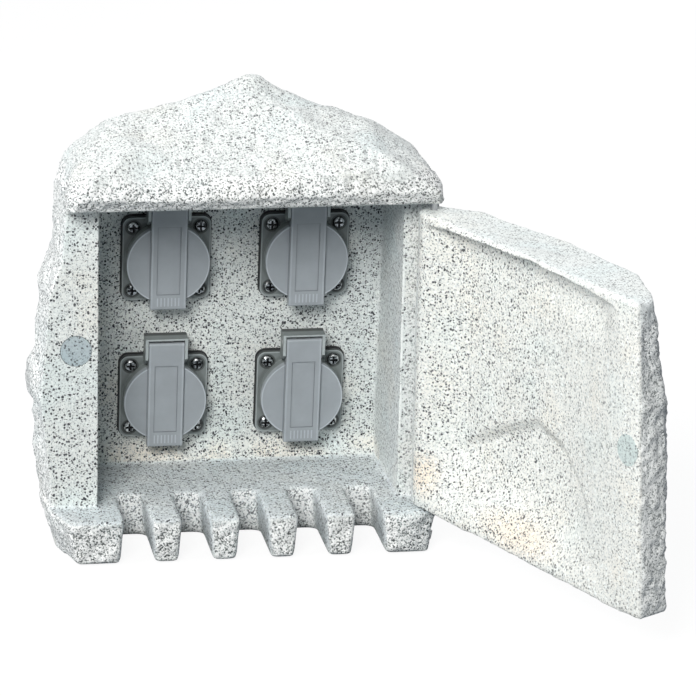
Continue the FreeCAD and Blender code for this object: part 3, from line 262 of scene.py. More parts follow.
def make_floor():
    """A white floor that keeps the object's shadow and shows no edge against the surround."""
    material, place, output = start_material("white_floor")
    camera_ray = place.add("LightPath", output="Is Camera Ray")
    plain = place.add("BsdfDiffuse", None, {"Color": camera_ray.blend(FLOOR_BOUNCE, FLOOR_SEEN)})
    bright = place.add("Emission", None, {"Color": full(WHITE), "Strength": FLOOR_GLOW})
    shown = place.add("MixShader", None, {0: camera_ray * FLOOR_GLOW_SHARE, 1: plain, 2: bright})
    place.tree.links.new(shown.socket, output.inputs["Surface"])
    data = bpy.data.meshes.new("floor")
    corners = [(-1, -1), (1, -1), (1, 1), (-1, 1)]
    data.from_pydata([(x * FLOOR_REACH, y * FLOOR_REACH, 0) for x, y in corners], [], [(0, 1, 2, 3)])
    data.materials.append(material)
    floor = bpy.data.objects.new("floor", data)
    floor.location.z = -FLOOR_DROP
    scene.collection.objects.link(floor)


def make_surround():
    """Soft light from all round, which the camera, gloss and glass see as white."""
    world = bpy.data.worlds.new("surround")
    scene.world = world
    world.use_nodes = True
    tree = world.node_tree
    tree.nodes.clear()
    path = Wire(tree, None).add("LightPath")
    rays = [path.beside(f"Is {kind} Ray") for kind in ("Camera", "Glossy", "Transmission")]
    plainly = (rays[0] + rays[1] + rays[2]).clamped()
    light = path.add("Background", None, {"Color": plainly.blend(SURROUND_LIGHT, WHITE), "Strength": 1.0})
    end = tree.nodes.new("ShaderNodeOutputWorld")
    tree.links.new(light.socket, end.inputs["Surface"])


make_camera()
make_floor()
make_surround()
for lamp_name, lamp_values in LAMPS.items():
    make_lamp(lamp_name, *lamp_values)
scene.view_settings.view_transform = "Standard"


# stone

STONE_LIGHT, STONE_COOL = (0.82, 0.855, 0.84), (0.8, 0.87, 0.9)
# the shaded stone colour is painted shade, and the pale one on the next line is painted light
STONE_WARM, STONE_SHADED = (0.94, 0.83, 0.70), (0.58, 0.63, 0.69)
STONE_BLACK, STONE_PAINTED_LIGHT = (0.035, 0.037, 0.045), (0.93, 0.96, 0.95)


def specks(place, size, share, radius, seed):
    """Specks scattered through the stone: 1 in a speck and 0 between specks."""
    shaken = place.vector("ADD", {1: (seed, seed * 0.7, -seed)})
    grain = shaken.add("TexVoronoi", {"feature": "F1"},
                       {"Vector": shaken, "Scale": 1.0 / size, "Randomness": 0.93})
    number = grain.add("SeparateColor", None, {"Color": grain.beside("Color")})
    reach = number.beside("Green") * (radius * 0.7) + radius * 0.6
    return (reach - grain.beside("Distance")).step(-0.03, 0.04) * (number < share)


def stone_body(place, rough, light, cool):
    """The stone's ground colour: clouds, a warm and a cool tint, a stored warm tint with painted shade where
    it is below 0, and fine grey grain.
    """
    cloud = place.noise(24 * MM, 3.0)
    tint = place.noise(34 * MM, 2.0, 0.5, 7.0)
    fine = place.noise(1.15 * MM, 2.0, 0.65)
    warmth_and_shade = place.attribute("warmth_and_shade")
    body = cloud.step(0.3, 0.7).blend(scaled(light, 0.94), light)
    body = (tint.step(0.52, 0.68) * 0.8).blend(body, tinted(light, (1.0, 0.965, 0.93)))
    body = (tint.step(0.48, 0.32) * 0.8).blend(body, tinted(light, (0.93, 0.985, 1.0)))
    body = warmth_and_shade.clamped().blend(body, STONE_WARM)
    # painted shade: where the stored value is below 0 the stone is darkened and cooled
    body = (warmth_and_shade * -1.0).clamped().blend(body, STONE_SHADED)
    return (fine.step(0.46, 0.64) * (0.6 - rough * 0.3)).blend(body, scaled(cool, 0.60))


def make_stone(name, light, cool, speckled=1.0):
    """Cast stone with dark and grey specks, pitted and gravelly where the cast face is rough, with painted
    light on edges and grain tops and painted shade in pits and hollows.
    """
    material, place, output = start_material(name)
    rough = place.attribute("rough")
    speckle = (speckled - place.attribute("faded")) * (1.0 - rough * 0.35)
    bend = place.noise(2.0 * MM, 2.0, 0.6)
    bent = place.vector("ADD", {1: bend.beside("Color").vector("SCALE", {"Scale": 2.2 * MM})})
    black = specks(bent, size=1.42 * MM, share=0.52, radius=0.38, seed=0.0)
    small = specks(bent, size=1.05 * MM, share=0.50, radius=0.41, seed=0.31)
    pale = specks(bent, size=1.9 * MM, share=0.35, radius=0.4, seed=0.73)
    body = stone_body(place, rough, light, cool)
    body = (pale * 0.6).blend(body, scaled(light, 1.14))
    body = (small * speckle * 0.72).blend(body, scaled(cool, 0.26))
    body = (black * speckle * 0.97).blend(body, STONE_BLACK)
    # painted light: the stored pale value lightens the stone towards near-white
    body = place.attribute("pale").blend(body, STONE_PAINTED_LIGHT)
    gravel = place.noise(1.05 * MM, 2.0, 0.6, 2.0)
    # painted highlight on the tops of the gravel bumps of rough faces
    grain_top_highlight = gravel.step(0.475, 0.52) * rough
    body = grain_top_highlight.blend(body, scaled(light, 1.22))
    # painted shade in the low places between the gravel bumps
    pit_shade = gravel.step(0.45, 0.415) * (rough * 0.97)
    body = pit_shade.blend(body, scaled(cool, 0.06))
    # painted shade in the hollows of the stored grain relief
    hollow = (place.attribute("relief") * -1.0 - 0.15).clamped() * (rough * 0.6)
    body = hollow.blend(body, scaled(cool, 0.26))
    dots = place.noise(0.55 * MM, 1.0, 0.5, 5.0)
    height = gravel * (rough * 1.7 + 0.16) + dots * (rough * 0.14 + 0.07)
    finish_material(place, output, {"Base Color": body, "Roughness": 0.9, "Normal": height.bumps(0.5)})
    return material


# shaping by numbers

AXIS_PRIMES = (374761393, 668265263, 3266489917)
SEED_PRIME = 1013904223
MIX_PRIMES = (1274126177, 2246822519)
WORD = 2 ** 32


def lattice(cells, seed):
    """A repeatable number from 0 to 1 for each whole-numbered cell."""
    x, y, z = (cells[:, axis].astype(np.int64).astype(np.uint32) * np.uint32(prime)
               for axis, prime in enumerate(AXIS_PRIMES))
    mixed = x + y + z + np.uint32(seed * SEED_PRIME % WORD)
    mixed = (mixed ^ (mixed >> np.uint32(13))) * np.uint32(MIX_PRIMES[0])
    mixed = (mixed ^ (mixed >> np.uint32(15))) * np.uint32(MIX_PRIMES[1])
    return (mixed ^ (mixed >> np.uint32(16))) / (WORD - 1.0)


def lumps(points, size, seed):
    """Smooth noise from -1 to 1 with lumps of about the given size."""
    places = points / size + 0.37 * seed
    cell = np.floor(places)
    part = places - cell
    part = part * part * part * (part * (part * 6 - 15) + 10)
    total = np.zeros(len(points))
    for corner in product((0, 1), repeat=3):
        weight = np.prod(np.where(np.array(corner) == 1, part, 1 - part), axis=1)
        total += weight * lattice(cell + corner, seed)
    return total * 2 - 1


def pebbles(points, size, seed):
    """Rounded grains packed side by side: 1 at a grain's middle, falling to 0 and below between them."""
    places = points / size
    cell = np.floor(places)
    near = np.full(len(points), 9.0)
    for corner in product((-1, 0, 1), repeat=3):
        spot = cell + corner
        spot = spot + np.stack([lattice(spot, seed + axis) for axis in range(3)], axis=1)
        near = np.minimum(near, ((spot - places) ** 2).sum(axis=1))
    return 1 - np.sqrt(near) * 1.5


def rise(values, start, end):
    """0 below the start and 1 above the end, smooth between; the start may be the larger."""
    part = np.clip((values - start) / (end - start), 0, 1)
    return part * part * (3 - 2 * part)


def arrays_of(mesh):
    """A mesh's points in millimetres, and the two ends of each of its edges."""
    points = np.empty(len(mesh.vertices) * 3)
    mesh.vertices.foreach_get("co", points)
    edges = np.empty(len(mesh.edges) * 2, dtype=np.int64)
    mesh.edges.foreach_get("vertices", edges)
    return points.reshape(-1, 3) / MM, edges.reshape(-1, 2)


def normals_of(mesh):
    mesh.update()
    normals = np.empty(len(mesh.vertices) * 3)
    mesh.vertex_normals.foreach_get("vector", normals)
    return normals.reshape(-1, 3)


def set_points(mesh, points):
    mesh.vertices.foreach_set("co", (points * MM).ravel())
    mesh.update()


def averaged(values, edges, times):
    """Values spread to each vertex's neighbours several times over."""
    first, second = edges[:, 0], edges[:, 1]
    count = len(values)
    degree = np.bincount(first, minlength=count) + np.bincount(second, minlength=count)
    degree = np.maximum(degree, 1)
    flat = values.reshape(count, -1).astype(float)
    for _ in range(times):
        sums = [np.bincount(first, column[second], count) + np.bincount(second, column[first], count)
                for column in flat.T]
        flat = np.stack(sums, axis=1) / degree[:, None]
    return flat.reshape(values.shape)


def relaxed(points, edges, times):
    """Points with their creases rounded off and their broad form kept at its size."""
    for _ in range(times):
        points = points + 0.60 * (averaged(points, edges, 1) - points)
        points = points - 0.625 * (averaged(points, edges, 1) - points)
    return points


def melted(points, edges, times, weight):
    """Points drawn towards the middle of their surroundings, as far as each one's weight says."""
    return points + (averaged(points, edges, times) - points) * weight[:, None]


def worn_normals(mesh, edges):
    """The mesh's normals, evened out over their neighbours."""
    normals = averaged(normals_of(mesh), edges, 3)
    return normals / np.maximum(np.linalg.norm(normals, axis=1), 1e-6)[:, None]


# meshes

VOXEL = 0.9
DOOR_FIRST_VOXEL = max(VOXEL, 1.1)


def times_for(reach):
    """How many rounds of averaging reach about so many millimetres across the faces."""
    return int(reach / VOXEL)


def node_parts(name):
    """A CAD node's points in millimetres and its faces."""
    mesh = frame["nodes"][name].data
    points, _ = arrays_of(mesh)
    return points, [list(face.vertices) for face in mesh.polygons]


def joined(parts):
    """Several pairs of points and faces as one pair."""
    points, faces = [], []
    for part_points, part_faces in parts:
        faces += [[index + len(points) for index in face] for face in part_faces]
        points += [tuple(point) for point in part_points]
    return points, faces


def joined_mesh(name, parts):
    points, faces = joined([(part_points * MM, part_faces) for part_points, part_faces in parts])
    mesh = bpy.data.meshes.new(name)
    mesh.from_pydata(points, [], faces)
    return mesh


def remeshed(mesh, voxel):
    """The same closed form in small even faces, as a new mesh."""
    carrier = bpy.data.objects.new("carrier", mesh)
    scene.collection.objects.link(carrier)
    weld = carrier.modifiers.new("weld", "WELD")
    weld.merge_threshold = 0.01 * MM
    even = carrier.modifiers.new("even", "REMESH")
    even.mode = "VOXEL"
    even.voxel_size = voxel * MM
    result = bpy.data.meshes.new_from_object(carrier.evaluated_get(bpy.context.evaluated_depsgraph_get()))
    bpy.data.objects.remove(carrier)
    return result


def snapped(points, surface, wanted):
    """Points with the wanted ones moved onto the nearest place of a surface."""
    moved = points.copy()
    for index in np.flatnonzero(wanted):
        moved[index] = surface.find_nearest(points[index])[0]
    return moved


def store(mesh, name, values):
    layer = mesh.attributes.new(name, "FLOAT", "POINT")
    layer.data.foreach_set("value", np.asarray(values, dtype=np.float32))


def show(name, mesh, body, slot, material, *nodes):
    """Puts a finished mesh into the scene in place of its CAD nodes."""
    mesh.name = name
    mesh.polygons.foreach_set("use_smooth", np.ones(len(mesh.polygons), dtype=bool))
    mesh.materials.append(material)
    piece = bpy.data.objects.new(name, mesh)
    scene.collection.objects.link(piece)
    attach(piece, body)
    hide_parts(*nodes)
    return piece


# the rock: its CAD's places, in millimetres

JAMB = -54.0
OPENING_HALF = 84.3
OPENING_TOP = 200.0
LEDGE_TOP = 25.2
LEDGE_FRONT = -78.6
SLOT_PITCH = 32.34
OUTER_SLOT = 2
SLOT_REACH = 10.4
SLOT_BACK = -32.0
BAY_BACK = 27.0
CAVITY_HALF, CAVITY_BACK = 81.0, 79.7
CAVITY_LOW, CAVITY_HIGH = 32.0, 185.0
ROCK_TOP, ROCK_LEFT = 257.4, -119.9
RIDGE_WAY = (0.9846, 0.175)

# the roof's ridge line along its length, and the left side up its height: how far each stands out
ROOF_SHIFT = ((-170.0, -1.0), (-155.0, 1.6), (-139.0, 2.2), (-126.0, 0.4), (-112.0, -3.6), (-98.0, -5.8),
              (-84.0, -5.4), (-72.0, -5.2), (-60.0, -4.6), (-44.0, -2.8), (-30.0, -1.2), (-16.0, 0.0),
              (11.0, 3.0), (25.0, 2.4), (39.0, 2.4), (53.0, 2.2))
SIDE_SHIFT = ((4.0, -2.2), (16.0, 1.6), (45.0, 1.6), (58.0, 0.2), (70.0, -1.2), (78.0, -3.4), (83.0, 0.0),
              (88.0, 1.4), (98.0, 0.8), (106.0, -1.8), (122.0, -0.8), (137.0, -2.0), (148.0, 1.8),
              (162.0, -0.8), (172.0, -0.6), (184.0, 0.8), (200.0, 0.4))
KNOB_HEIGHT, KNOB_WIDTH = 5.2, 11.0

# short nicks in the roof's front: place along the ridge, height, half length
CHIPS = ((8.0, 229.0, 2.6), (14.0, 225.0, 3.0), (-4.0, 226.5, 1.8), (-93.0, 223.0, 2.2))
CHIP_DEPTH = 1.4


def shift_at(values, table):
    return np.interp(values, [place for place, _ in table], [shift for _, shift in table])


def ridge_place(points):
    """Each point's place along the roof's ridge line."""
    return (points[:, 0] - VIEW_AIM[0]) * RIDGE_WAY[0] - (points[:, 1] - VIEW_AIM[1]) * RIDGE_WAY[1]


def roof_shift(points):
    """How far the cast roof's ridge line stands above or below its plain slopes."""
    y, z = points[:, 1], points[:, 2]
    apex = points[z.argmax()]
    knob = np.exp(-((points[:, :2] - apex[:2]) ** 2).sum(axis=1) / KNOB_WIDTH ** 2)
    shift = shift_at(ridge_place(points) + 7 * lumps(points, 22, 71) * rise(y, 25, 60), ROOF_SHIFT)
    shift *= 1 - 0.6 * rise(y, 30, 70)
    return shift * rise(z, OPENING_TOP + 1, OPENING_TOP + 22) + KNOB_HEIGHT * knob * (z > OPENING_TOP + 30)


def side_shift(points):
    """How far the left side stands out or in; its folds are level at its bulge and wander off from there."""
    x, y, z = points.T
    edge = rise(y, -46, -26) * (1 - rise(y, 2, 30))
    height = z + (1 - edge) * 16 * lumps(points, 24, 73)
    shift = shift_at(height, SIDE_SHIFT) * (0.45 + 0.55 * edge) + (1 - edge) * 1.4 * lumps(points, 16, 75)
    return shift * rise(-x, OPENING_HALF, 100)


def chips(points, normals):
    """How deep the nicks of the roof's front are."""
    along = ridge_place(points)
    z = points[:, 2]
    deep = np.zeros(len(points))
    for place, height, half in CHIPS:
        slant = along - place + 0.12 * (z - height)
        deep = np.maximum(deep, np.exp(-slant ** 2 - ((z - height) / half) ** 2))
    return CHIP_DEPTH * deep * (points[:, 1] < 0) * rise(-normals[:, 1], 0.3, 0.5)


def from_slot(x):
    """How far a place is from the middle of the nearest of the five slots."""
    return abs(x - np.clip(np.round(x / SLOT_PITCH), -OUTER_SLOT, OUTER_SLOT) * SLOT_PITCH)


def rock_zones(points, normals):
    """The moulded inner faces, the jambs, the slots' ends and the closed wiring space, as yes or no."""
    x, y, z = points.T
    bay = (abs(x) < OPENING_HALF + 0.9) & (y > JAMB - 1.2) & (y < BAY_BACK)
    bay &= (z > LEDGE_TOP - 0.8) & (z < OPENING_TOP + 0.9)
    jamb = (y < JAMB + 0.9) & (y > JAMB - 1.2) & (z > LEDGE_TOP - 0.5) & (z < OPENING_TOP + 0.9)
    top = (abs(z - LEDGE_TOP) < 1.0) & (y < JAMB + 2) & (normals[:, 2] > 0.3)
    slot = (from_slot(x) < SLOT_REACH) & (y < SLOT_BACK) & (y > LEDGE_FRONT) & (z < LEDGE_TOP + 0.5)
    sole = z < 0.7
    under = (abs(z - OPENING_TOP) < 1.0) & (y < JAMB + 1) & (normals[:, 2] < -0.3)
    rear = (abs(x) < CAVITY_HALF) & (y > 20) & (y < CAVITY_BACK) & (z > CAVITY_LOW) & (z < CAVITY_HIGH)
    inner = bay | jamb | top | slot | sole | under | rear
    cavity = rear | (sole & (abs(x) < 100))
    slot_end = slot & (y > SLOT_BACK - 5) & (normals[:, 1] < -0.5)
    return inner, jamb, slot_end, cavity


def rock_mesh():
    """The ledge and the housing as one closed mesh, and the CAD's surface to snap it to."""
    ledge = node_parts("base_ledge")
    housing = node_parts("rock_housing")
    sunk = housing[0].copy()
    sunk[sunk[:, 2] < LEDGE_TOP + 0.1, 2] -= 0.7
    mesh = remeshed(joined_mesh("rock", [ledge, (sunk, housing[1])]), VOXEL)
    return mesh, BVHTree.FromPolygons(*joined([ledge, housing]))


def rock_worn(points, edges, inner):
    """The worn form with its wavy roof and left side, and how far each point is on the rugged outside."""
    x, y, z = points.T
    bay_corner = rise(y, -28, -18) * (abs(x) < OPENING_HALF + 1.7) * (y < 30) * (z > LEDGE_TOP - 0.8)
    points = melted(points, edges, times_for(9), bay_corner * (z < 120))
    outer = averaged((~inner).astype(float), edges, 3)
    outer = np.minimum(outer * 1.2, 1.0) * ~inner
    soft = relaxed(points, edges, times_for(14))
    points = points + (soft - points) * rise(averaged(outer, edges, 4), 0.3, 1.0)[:, None]
    x, y, z = points.T
    ahead = JAMB - y
    low = 1 - rise(z, LEDGE_TOP + 0.4, LEDGE_TOP + 2.3)
    ledge = rise(ahead, 3, 8) * low
    slots = (1 - rise(from_slot(x), 11.5, 14.0)) * rise(ahead, -30, -24) * low
    brow = outer * rise(z, OPENING_TOP - 1, OPENING_TOP + 2) * rise(ahead, -9, 6)
    brow = brow * (1 - rise(z, OPENING_TOP + 9, OPENING_TOP + 16))
    points = melted(points, edges, times_for(13), np.maximum(ledge, slots))
    points = melted(points, edges, times_for(9), 0.85 * brow)
    points[:, 2] += roof_shift(points) * outer
    points[:, 0] -= side_shift(points) * outer
    return points, outer


def rock_relief(points, normals, outer, cavity):
    """How far the rugged face stands out at each point, how craggy it is there, and its grains."""
    x, y, z = points.T
    lip = rise(z, OPENING_TOP - 1, OPENING_TOP + 2)
    lip = lip * (1 - rise(z + 2.6 * lumps(points, 14, 31), OPENING_TOP + 13, OPENING_TOP + 21))
    foot = (1 - rise(z, LEDGE_TOP - 5.2, LEDGE_TOP - 0.2)) * rise(JAMB - y, 20, 24)
    side = rise(abs(x), 92, 101) * (1 - rise(z, OPENING_TOP + 4, OPENING_TOP + 14))
    back = rise(y, 60, 80)
    crag = np.clip(0.16 + 0.8 * lip + 0.8 * foot + 0.5 * side + 0.3 * back, 0, 1)
    grains = pebbles(points, 3.4, 11) * 0.55 + lumps(points, 2.3, 3) * 0.45
    plain = np.maximum(rise(x, 88, 100), back) * (1 - rise(z, OPENING_TOP + 6, OPENING_TOP + 20))
    height = (lumps(points, 27, 1) * (1.1 + 1.2 * plain) + lumps(points, 12, 2) * (0.8 + 0.6 * plain)
              + lumps(points, 6, 4) * (0.3 + 0.4 * crag) + grains * (0.2 + 0.8 * crag)
              - 0.3 - 0.3 * crag - 1.2 * plain)
    calm = (1 - outer) * ~cavity
    height = height * outer + calm * (lumps(points, 18, 7) * 0.12 + lumps(points, 4, 8) * 0.05 - 0.1)
    return height - chips(points, normals) * outer, crag, grains


def rock_looks(mesh, points, edges, outer, inner, jamb, slot_end, crag):
    """Stores how rough, warm, speckled and pale the stone is at each point; the pale values are painted
    light, and the warm tint's values below 0 are painted shade.
    """
    x, y, z = points.T
    moulded = 1 - outer
    rough = averaged((~inner).astype(float), edges, 1) * (0.1 + 0.86 * crag)
    rough += 0.8 * averaged(slot_end.astype(float), edges, 2)
    rough += 0.45 * jamb * rise(x, OPENING_HALF + 1.7, OPENING_HALF + 3.7)
    store(mesh, "rough", np.clip(rough, 0, 1))
    right_side = rise(x, OPENING_HALF - 1.8, OPENING_HALF - 0.8) * rise(y, JAMB + 2, JAMB + 4) * moulded
    right_side = right_side * (1 - rise(x, OPENING_HALF + 1.7, OPENING_HALF + 2.7))
    shaded_ledge_top = (1 - rise(z, LEDGE_TOP + 0.3, LEDGE_TOP + 1.8)) * rise(z, 2, 8) * moulded
    wall = (1 - rise(z, 60, 150)) * (y > -30) * moulded * rise(z, LEDGE_TOP + 0.8, LEDGE_TOP + 2.8)
    wall_foot = (1 - rise(z, LEDGE_TOP + 3.8, LEDGE_TOP + 14.8)) * rise(z, LEDGE_TOP + 0.6, LEDGE_TOP + 1.8)
    wall_foot = wall_foot * (y > 4) * moulded * rise(lumps(points, 14, 77), -0.6, 0.5)
    wall_back = (y > 0) * moulded * (z > LEDGE_TOP + 1.8) * (1 - right_side)
    shaded_wall_right = rise(x, 10, 60) * wall_back
    # painted shade: the ledge's top, the right inner side and the right of the back wall are darkened and
    # cooled; the rest is a warm tint
    store(mesh, "warmth_and_shade", 0.06 * jamb * (x < 0) + 0.10 * wall + 0.4 * wall_foot - 0.42 * shaded_ledge_top
          - 0.16 * right_side - 0.14 * shaded_wall_right)
    store(mesh, "faded", 0.35 * right_side - 0.35 * wall_back)
    # painted highlight: a pale line down the right jamb's inner edge, and painted light along the lower edge
    # of the roof's lip
    painted_highlight_line = (1 - rise(abs(x - OPENING_HALF - 0.7), 0.5, 1.1)) * (y < JAMB + 1.5) * moulded
    painted_highlight_line *= 0.8 * rise(lumps(points, 6, 61), -0.5, 0.1) * rise(z, 50, 70) * (1 - rise(z, 150, 180))
    brow_painted_light = 0.35 * outer * rise(z, OPENING_TOP - 1.5, OPENING_TOP) * rise(JAMB - y, 6, 21)
    brow_painted_light = brow_painted_light * (1 - rise(z, OPENING_TOP + 4, OPENING_TOP + 7))
    store(mesh, "pale", np.maximum(painted_highlight_line, brow_painted_light))


def make_rock(stone):
    mesh, surface = rock_mesh()
    points, edges = arrays_of(mesh)
    inner, jamb, slot_end, cavity = rock_zones(points, normals_of(mesh))
    points, outer = rock_worn(snapped(points, surface, inner), edges, inner)
    set_points(mesh, points)
    normals = worn_normals(mesh, edges)
    height, crag, grains = rock_relief(points, normals, outer, cavity)
    shaped = points + normals * height[:, None]
    shaped[:, 2] = np.clip(shaped[:, 2], 0.0, ROCK_TOP)
    shaped[:, 0] = np.maximum(shaped[:, 0], ROCK_LEFT)
    set_points(mesh, shaped)
    store(mesh, "relief", grains)
    rock_looks(mesh, points, edges, outer, inner, jamb, slot_end, crag)
    return show("rock_cast", mesh, "rock", "rock_stone", stone, "rock_housing", "base_ledge")


# the door: its own places along, outwards and up, in millimetres

PIVOT = np.array([98.5, -66.0])
DOOR_TURN = math.radians(294.0)
DOOR_FACE = -11.7
DOOR_BOTTOM, DOOR_TOP = 26.7, 195.9
DOOR_CLIP_LOW, DOOR_CLIP_HIGH = 26.4, 197.0
HOLLOW_DEPTH, ARCH_DEPTH = 15.4, 4.2
# where the free edge ends, by height
FREE_EDGE = ((26.7, 211.0), (78.7, 208.0), (138.7, 204.0), (195.9, 199.0))
# the hollow's share of its depth along the door, at its square upper right corner and below it
SHARP_END = ((6.0, 0.0), (10.0, 0.06), (15.0, 0.36), (22.0, 0.76), (32.0, 1.0), (112.0, 1.0), (136.0, 0.95),
             (150.0, 0.86), (162.0, 0.58), (174.0, 0.16), (183.0, 0.0))
GENTLE_END = ((6.0, 0.0), (10.0, 0.06), (15.0, 0.36), (22.0, 0.76), (32.0, 1.0), (95.0, 1.0), (120.0, 0.88),
              (140.0, 0.66), (158.0, 0.38), (176.0, 0.12), (190.0, 0.0))
# its share of the depth up from its rounded foot, and the heights of its upper edge and of its arch
FOOT_RISE = ((30.5, 0.0), (34.0, 0.08), (42.0, 0.42), (52.0, 0.72), (64.0, 0.9), (78.0, 1.0))
HEAD_LINE = ((0.0, 190.0), (8.0, 190.2), (25.0, 191.3), (104.0, 193.7), (150.0, 191.8), (177.5, 189.6),
             (181.0, 186.5), (184.9, 180.9), (188.0, 178.0))
ARCH_LINE = ((20.0, 64.0), (44.0, 77.0), (66.0, 88.0), (94.0, 100.0), (120.0, 95.0), (139.0, 83.0),
             (157.0, 69.0), (175.0, 52.0))
# worn sandy patches low on the inner face: middle along, middle up, half length, half height
PEACH_PATCHES = ((98, 38, 46, 11), (11, 46, 13, 16))


def to_door(points):
    """From the frame's millimetres to the door's own: along, outwards, up."""
    x, y = points[:, 0] - PIVOT[0], points[:, 1] - PIVOT[1]
    c, s = math.cos(DOOR_TURN), math.sin(DOOR_TURN)
    return np.stack([x * c + y * s, y * c - x * s, points[:, 2]], axis=1)


def from_door(points):
    c, s = math.cos(DOOR_TURN), math.sin(DOOR_TURN)
    x, y = points[:, 0], points[:, 1]
    return np.stack([PIVOT[0] + x * c - y * s, PIVOT[1] + x * s + y * c, points[:, 2]], axis=1)


def door_depth(along, up):
    """How deep the cast hollow of the door's inner face is."""
    gentle = shift_at(along, GENTLE_END)
    across = gentle + (shift_at(along, SHARP_END) - gentle) * rise(up, 158, 182)
    head = rise(shift_at(along, HEAD_LINE) - up, 0.0, 1.6)
    below = rise(shift_at(along, ARCH_LINE) - up, -3.0, 6.0) * rise(up, 34, 62)
    below = below * rise(along, 20, 46) * (1 - rise(along, 116, 176))
    return HOLLOW_DEPTH * across * shift_at(up, FOOT_RISE) * head + ARCH_DEPTH * below


def door_mesh():
    """The door in its own places as one closed mesh, with the hollow of its inner face."""
    points, faces = node_parts("door_panel")
    mesh = remeshed(joined_mesh("door", [(to_door(points), faces)]), DOOR_FIRST_VOXEL)
    points, _ = arrays_of(mesh)
    along, out, up = points.T
    inside = (normals_of(mesh)[:, 1] < -0.2) & (out < 9) & (along > 5.5)
    inside &= (up > DOOR_BOTTOM + 0.8) & (up < DOOR_TOP - 0.7)
    points[inside, 1] = DOOR_FACE + door_depth(along[inside], up[inside])
    set_points(mesh, points)
    return remeshed(mesh, VOXEL)


def door_worn(points, edges, outer, free_edge):
    """The door with its outer edges worn, most at its top, its free edge and its lower free corner."""
    out = points[:, 1]
    soft = relaxed(points, edges, times_for(14))
    rounding = rise(averaged(outer, edges, 4), 0.3, 1.0) * rise(out, -10.5, -6.0)
    points = points + (soft - points) * rounding[:, None]
    along, up = points[:, 0], points[:, 2]
    lip = np.maximum(rise(up, DOOR_TOP - 3.1, DOOR_TOP - 1.3), rise(along, free_edge - 3.6, free_edge - 2.0))
    lip = lip * (1 - rise(out, -4, 2))
    corner = (1 - rise(up, DOOR_BOTTOM + 2.3, DOOR_BOTTOM + 11.3)) * rise(along, 192, 203)
    return melted(points, edges, times_for(12), np.maximum(lip, corner))


def door_relief(points, outer, edge, top):
    """How far the door's surface stands out at each point, how craggy it is there, and its grains."""
    along, out, up = points.T
    crag = np.clip(0.2 + 0.8 * edge + 0.4 * rise(out, 4, 12) * (1 - top), 0, 1)
    grains = pebbles(points, 3.3, 41) * 0.55 + lumps(points, 2.3, 43) * 0.45
    ridge = 1 - 2 * abs(lumps(points * np.array([1.0, 1.0, 0.7]), 11, 45))
    face = rise(out, 0, 6) * (1 - edge) * (1 - top)
    height = (lumps(points, 27, 47) * (0.9 + 0.8 * face) + ridge * 0.5 * edge
              + lumps(points, 12, 48) * 0.7 * face
              + lumps(points, 5.0, 49) * (0.3 + 0.5 * edge) * (1 - 0.5 * top)
              + grains * (0.2 + 0.75 * crag) * (1 - 0.6 * top) - 0.3 - 0.2 * edge - 0.8 * face)
    low_edge = edge * (1 - rise(up, DOOR_BOTTOM + 0.3, DOOR_BOTTOM + 9.3))
    height = height * outer * (0.25 + 0.75 * rise(along, 8, 24)) * (1 - 0.7 * low_edge)
    height = height + (1 - outer) * (lumps(points, 18, 51) * 0.15 + lumps(points, 4, 53) * 0.05 - 0.1)
    return height, crag, grains


def door_looks(mesh, points, outer, edge, top, hollow, crag):
    """Stores how rough, warm, speckled and pale the door's stone is at each point; the pale values are
    painted light, and the dark upper free edge is painted shade.
    """
    along, up = points[:, 0], points[:, 2]
    peach = np.max([1 - np.hypot((along - middle) / half, (up - level) / tall)
                    for middle, level, half, tall in PEACH_PATCHES], axis=0)
    store(mesh, "rough", np.clip(outer * (0.05 + 0.62 * crag) * (1 - 0.8 * top), 0, 1))
    # painted light on the free edge's lower part and on the top
    store(mesh, "pale", 0.75 * edge * (1 - rise(up, 135, 165)) * rise(outer, 0.5, 1.0) + 0.2 * top * outer)
    sandy = np.clip(np.clip(peach, 0, 1) * 1.1 + 0.22, 0, 1) * hollow
    # painted shade: the upper free edge is darkened and cooled
    store(mesh, "warmth_and_shade", sandy - 0.4 * edge * rise(up, 145, 170))
    store(mesh, "faded", hollow * 0.35 * rise(along + 0.35 * up, 110, 200) + 0.1 * top)


def make_door(stone):
    mesh = door_mesh()
    points, edges = arrays_of(mesh)
    along, out, up = points.T
    depth = DOOR_FACE + door_depth(along, up)
    free_edge = shift_at(up, FREE_EDGE)
    inner = (out < depth + 3.0) & (along < free_edge - 1.6) & (along > 3.0)
    inner &= (up > DOOR_BOTTOM + 1.3) & (up < DOOR_TOP - 1.3)
    outer = averaged((~inner).astype(float), edges, 2) * ~inner
    points = door_worn(points, edges, outer, free_edge)
    set_points(mesh, points)
    along, out, up = points.T
    edge = rise(along, 190, 197) * rise(out, -10.8, -8.0)
    top = rise(up, 180, 190)
    hollow = (out < depth + 2).astype(float)
    height, crag, grains = door_relief(points, outer, edge, top)
    shaped = points + worn_normals(mesh, edges) * height[:, None]
    shaped[:, 2] = np.clip(shaped[:, 2], DOOR_CLIP_LOW, DOOR_CLIP_HIGH)
    low, high = (np.array(corner) / MM for corner in cad_box)
    set_points(mesh, np.clip(from_door(shaped), low + 0.05, high - 0.05))
    store(mesh, "relief", grains)
    door_looks(mesh, points, outer, edge, top, hollow, crag)
    return show("door_cast", mesh, "door", "door_stone", stone, "door_panel")


granite = make_stone("cast_stone", STONE_LIGHT, STONE_COOL)
make_rock(granite)
make_door(granite)


# plastics and metals

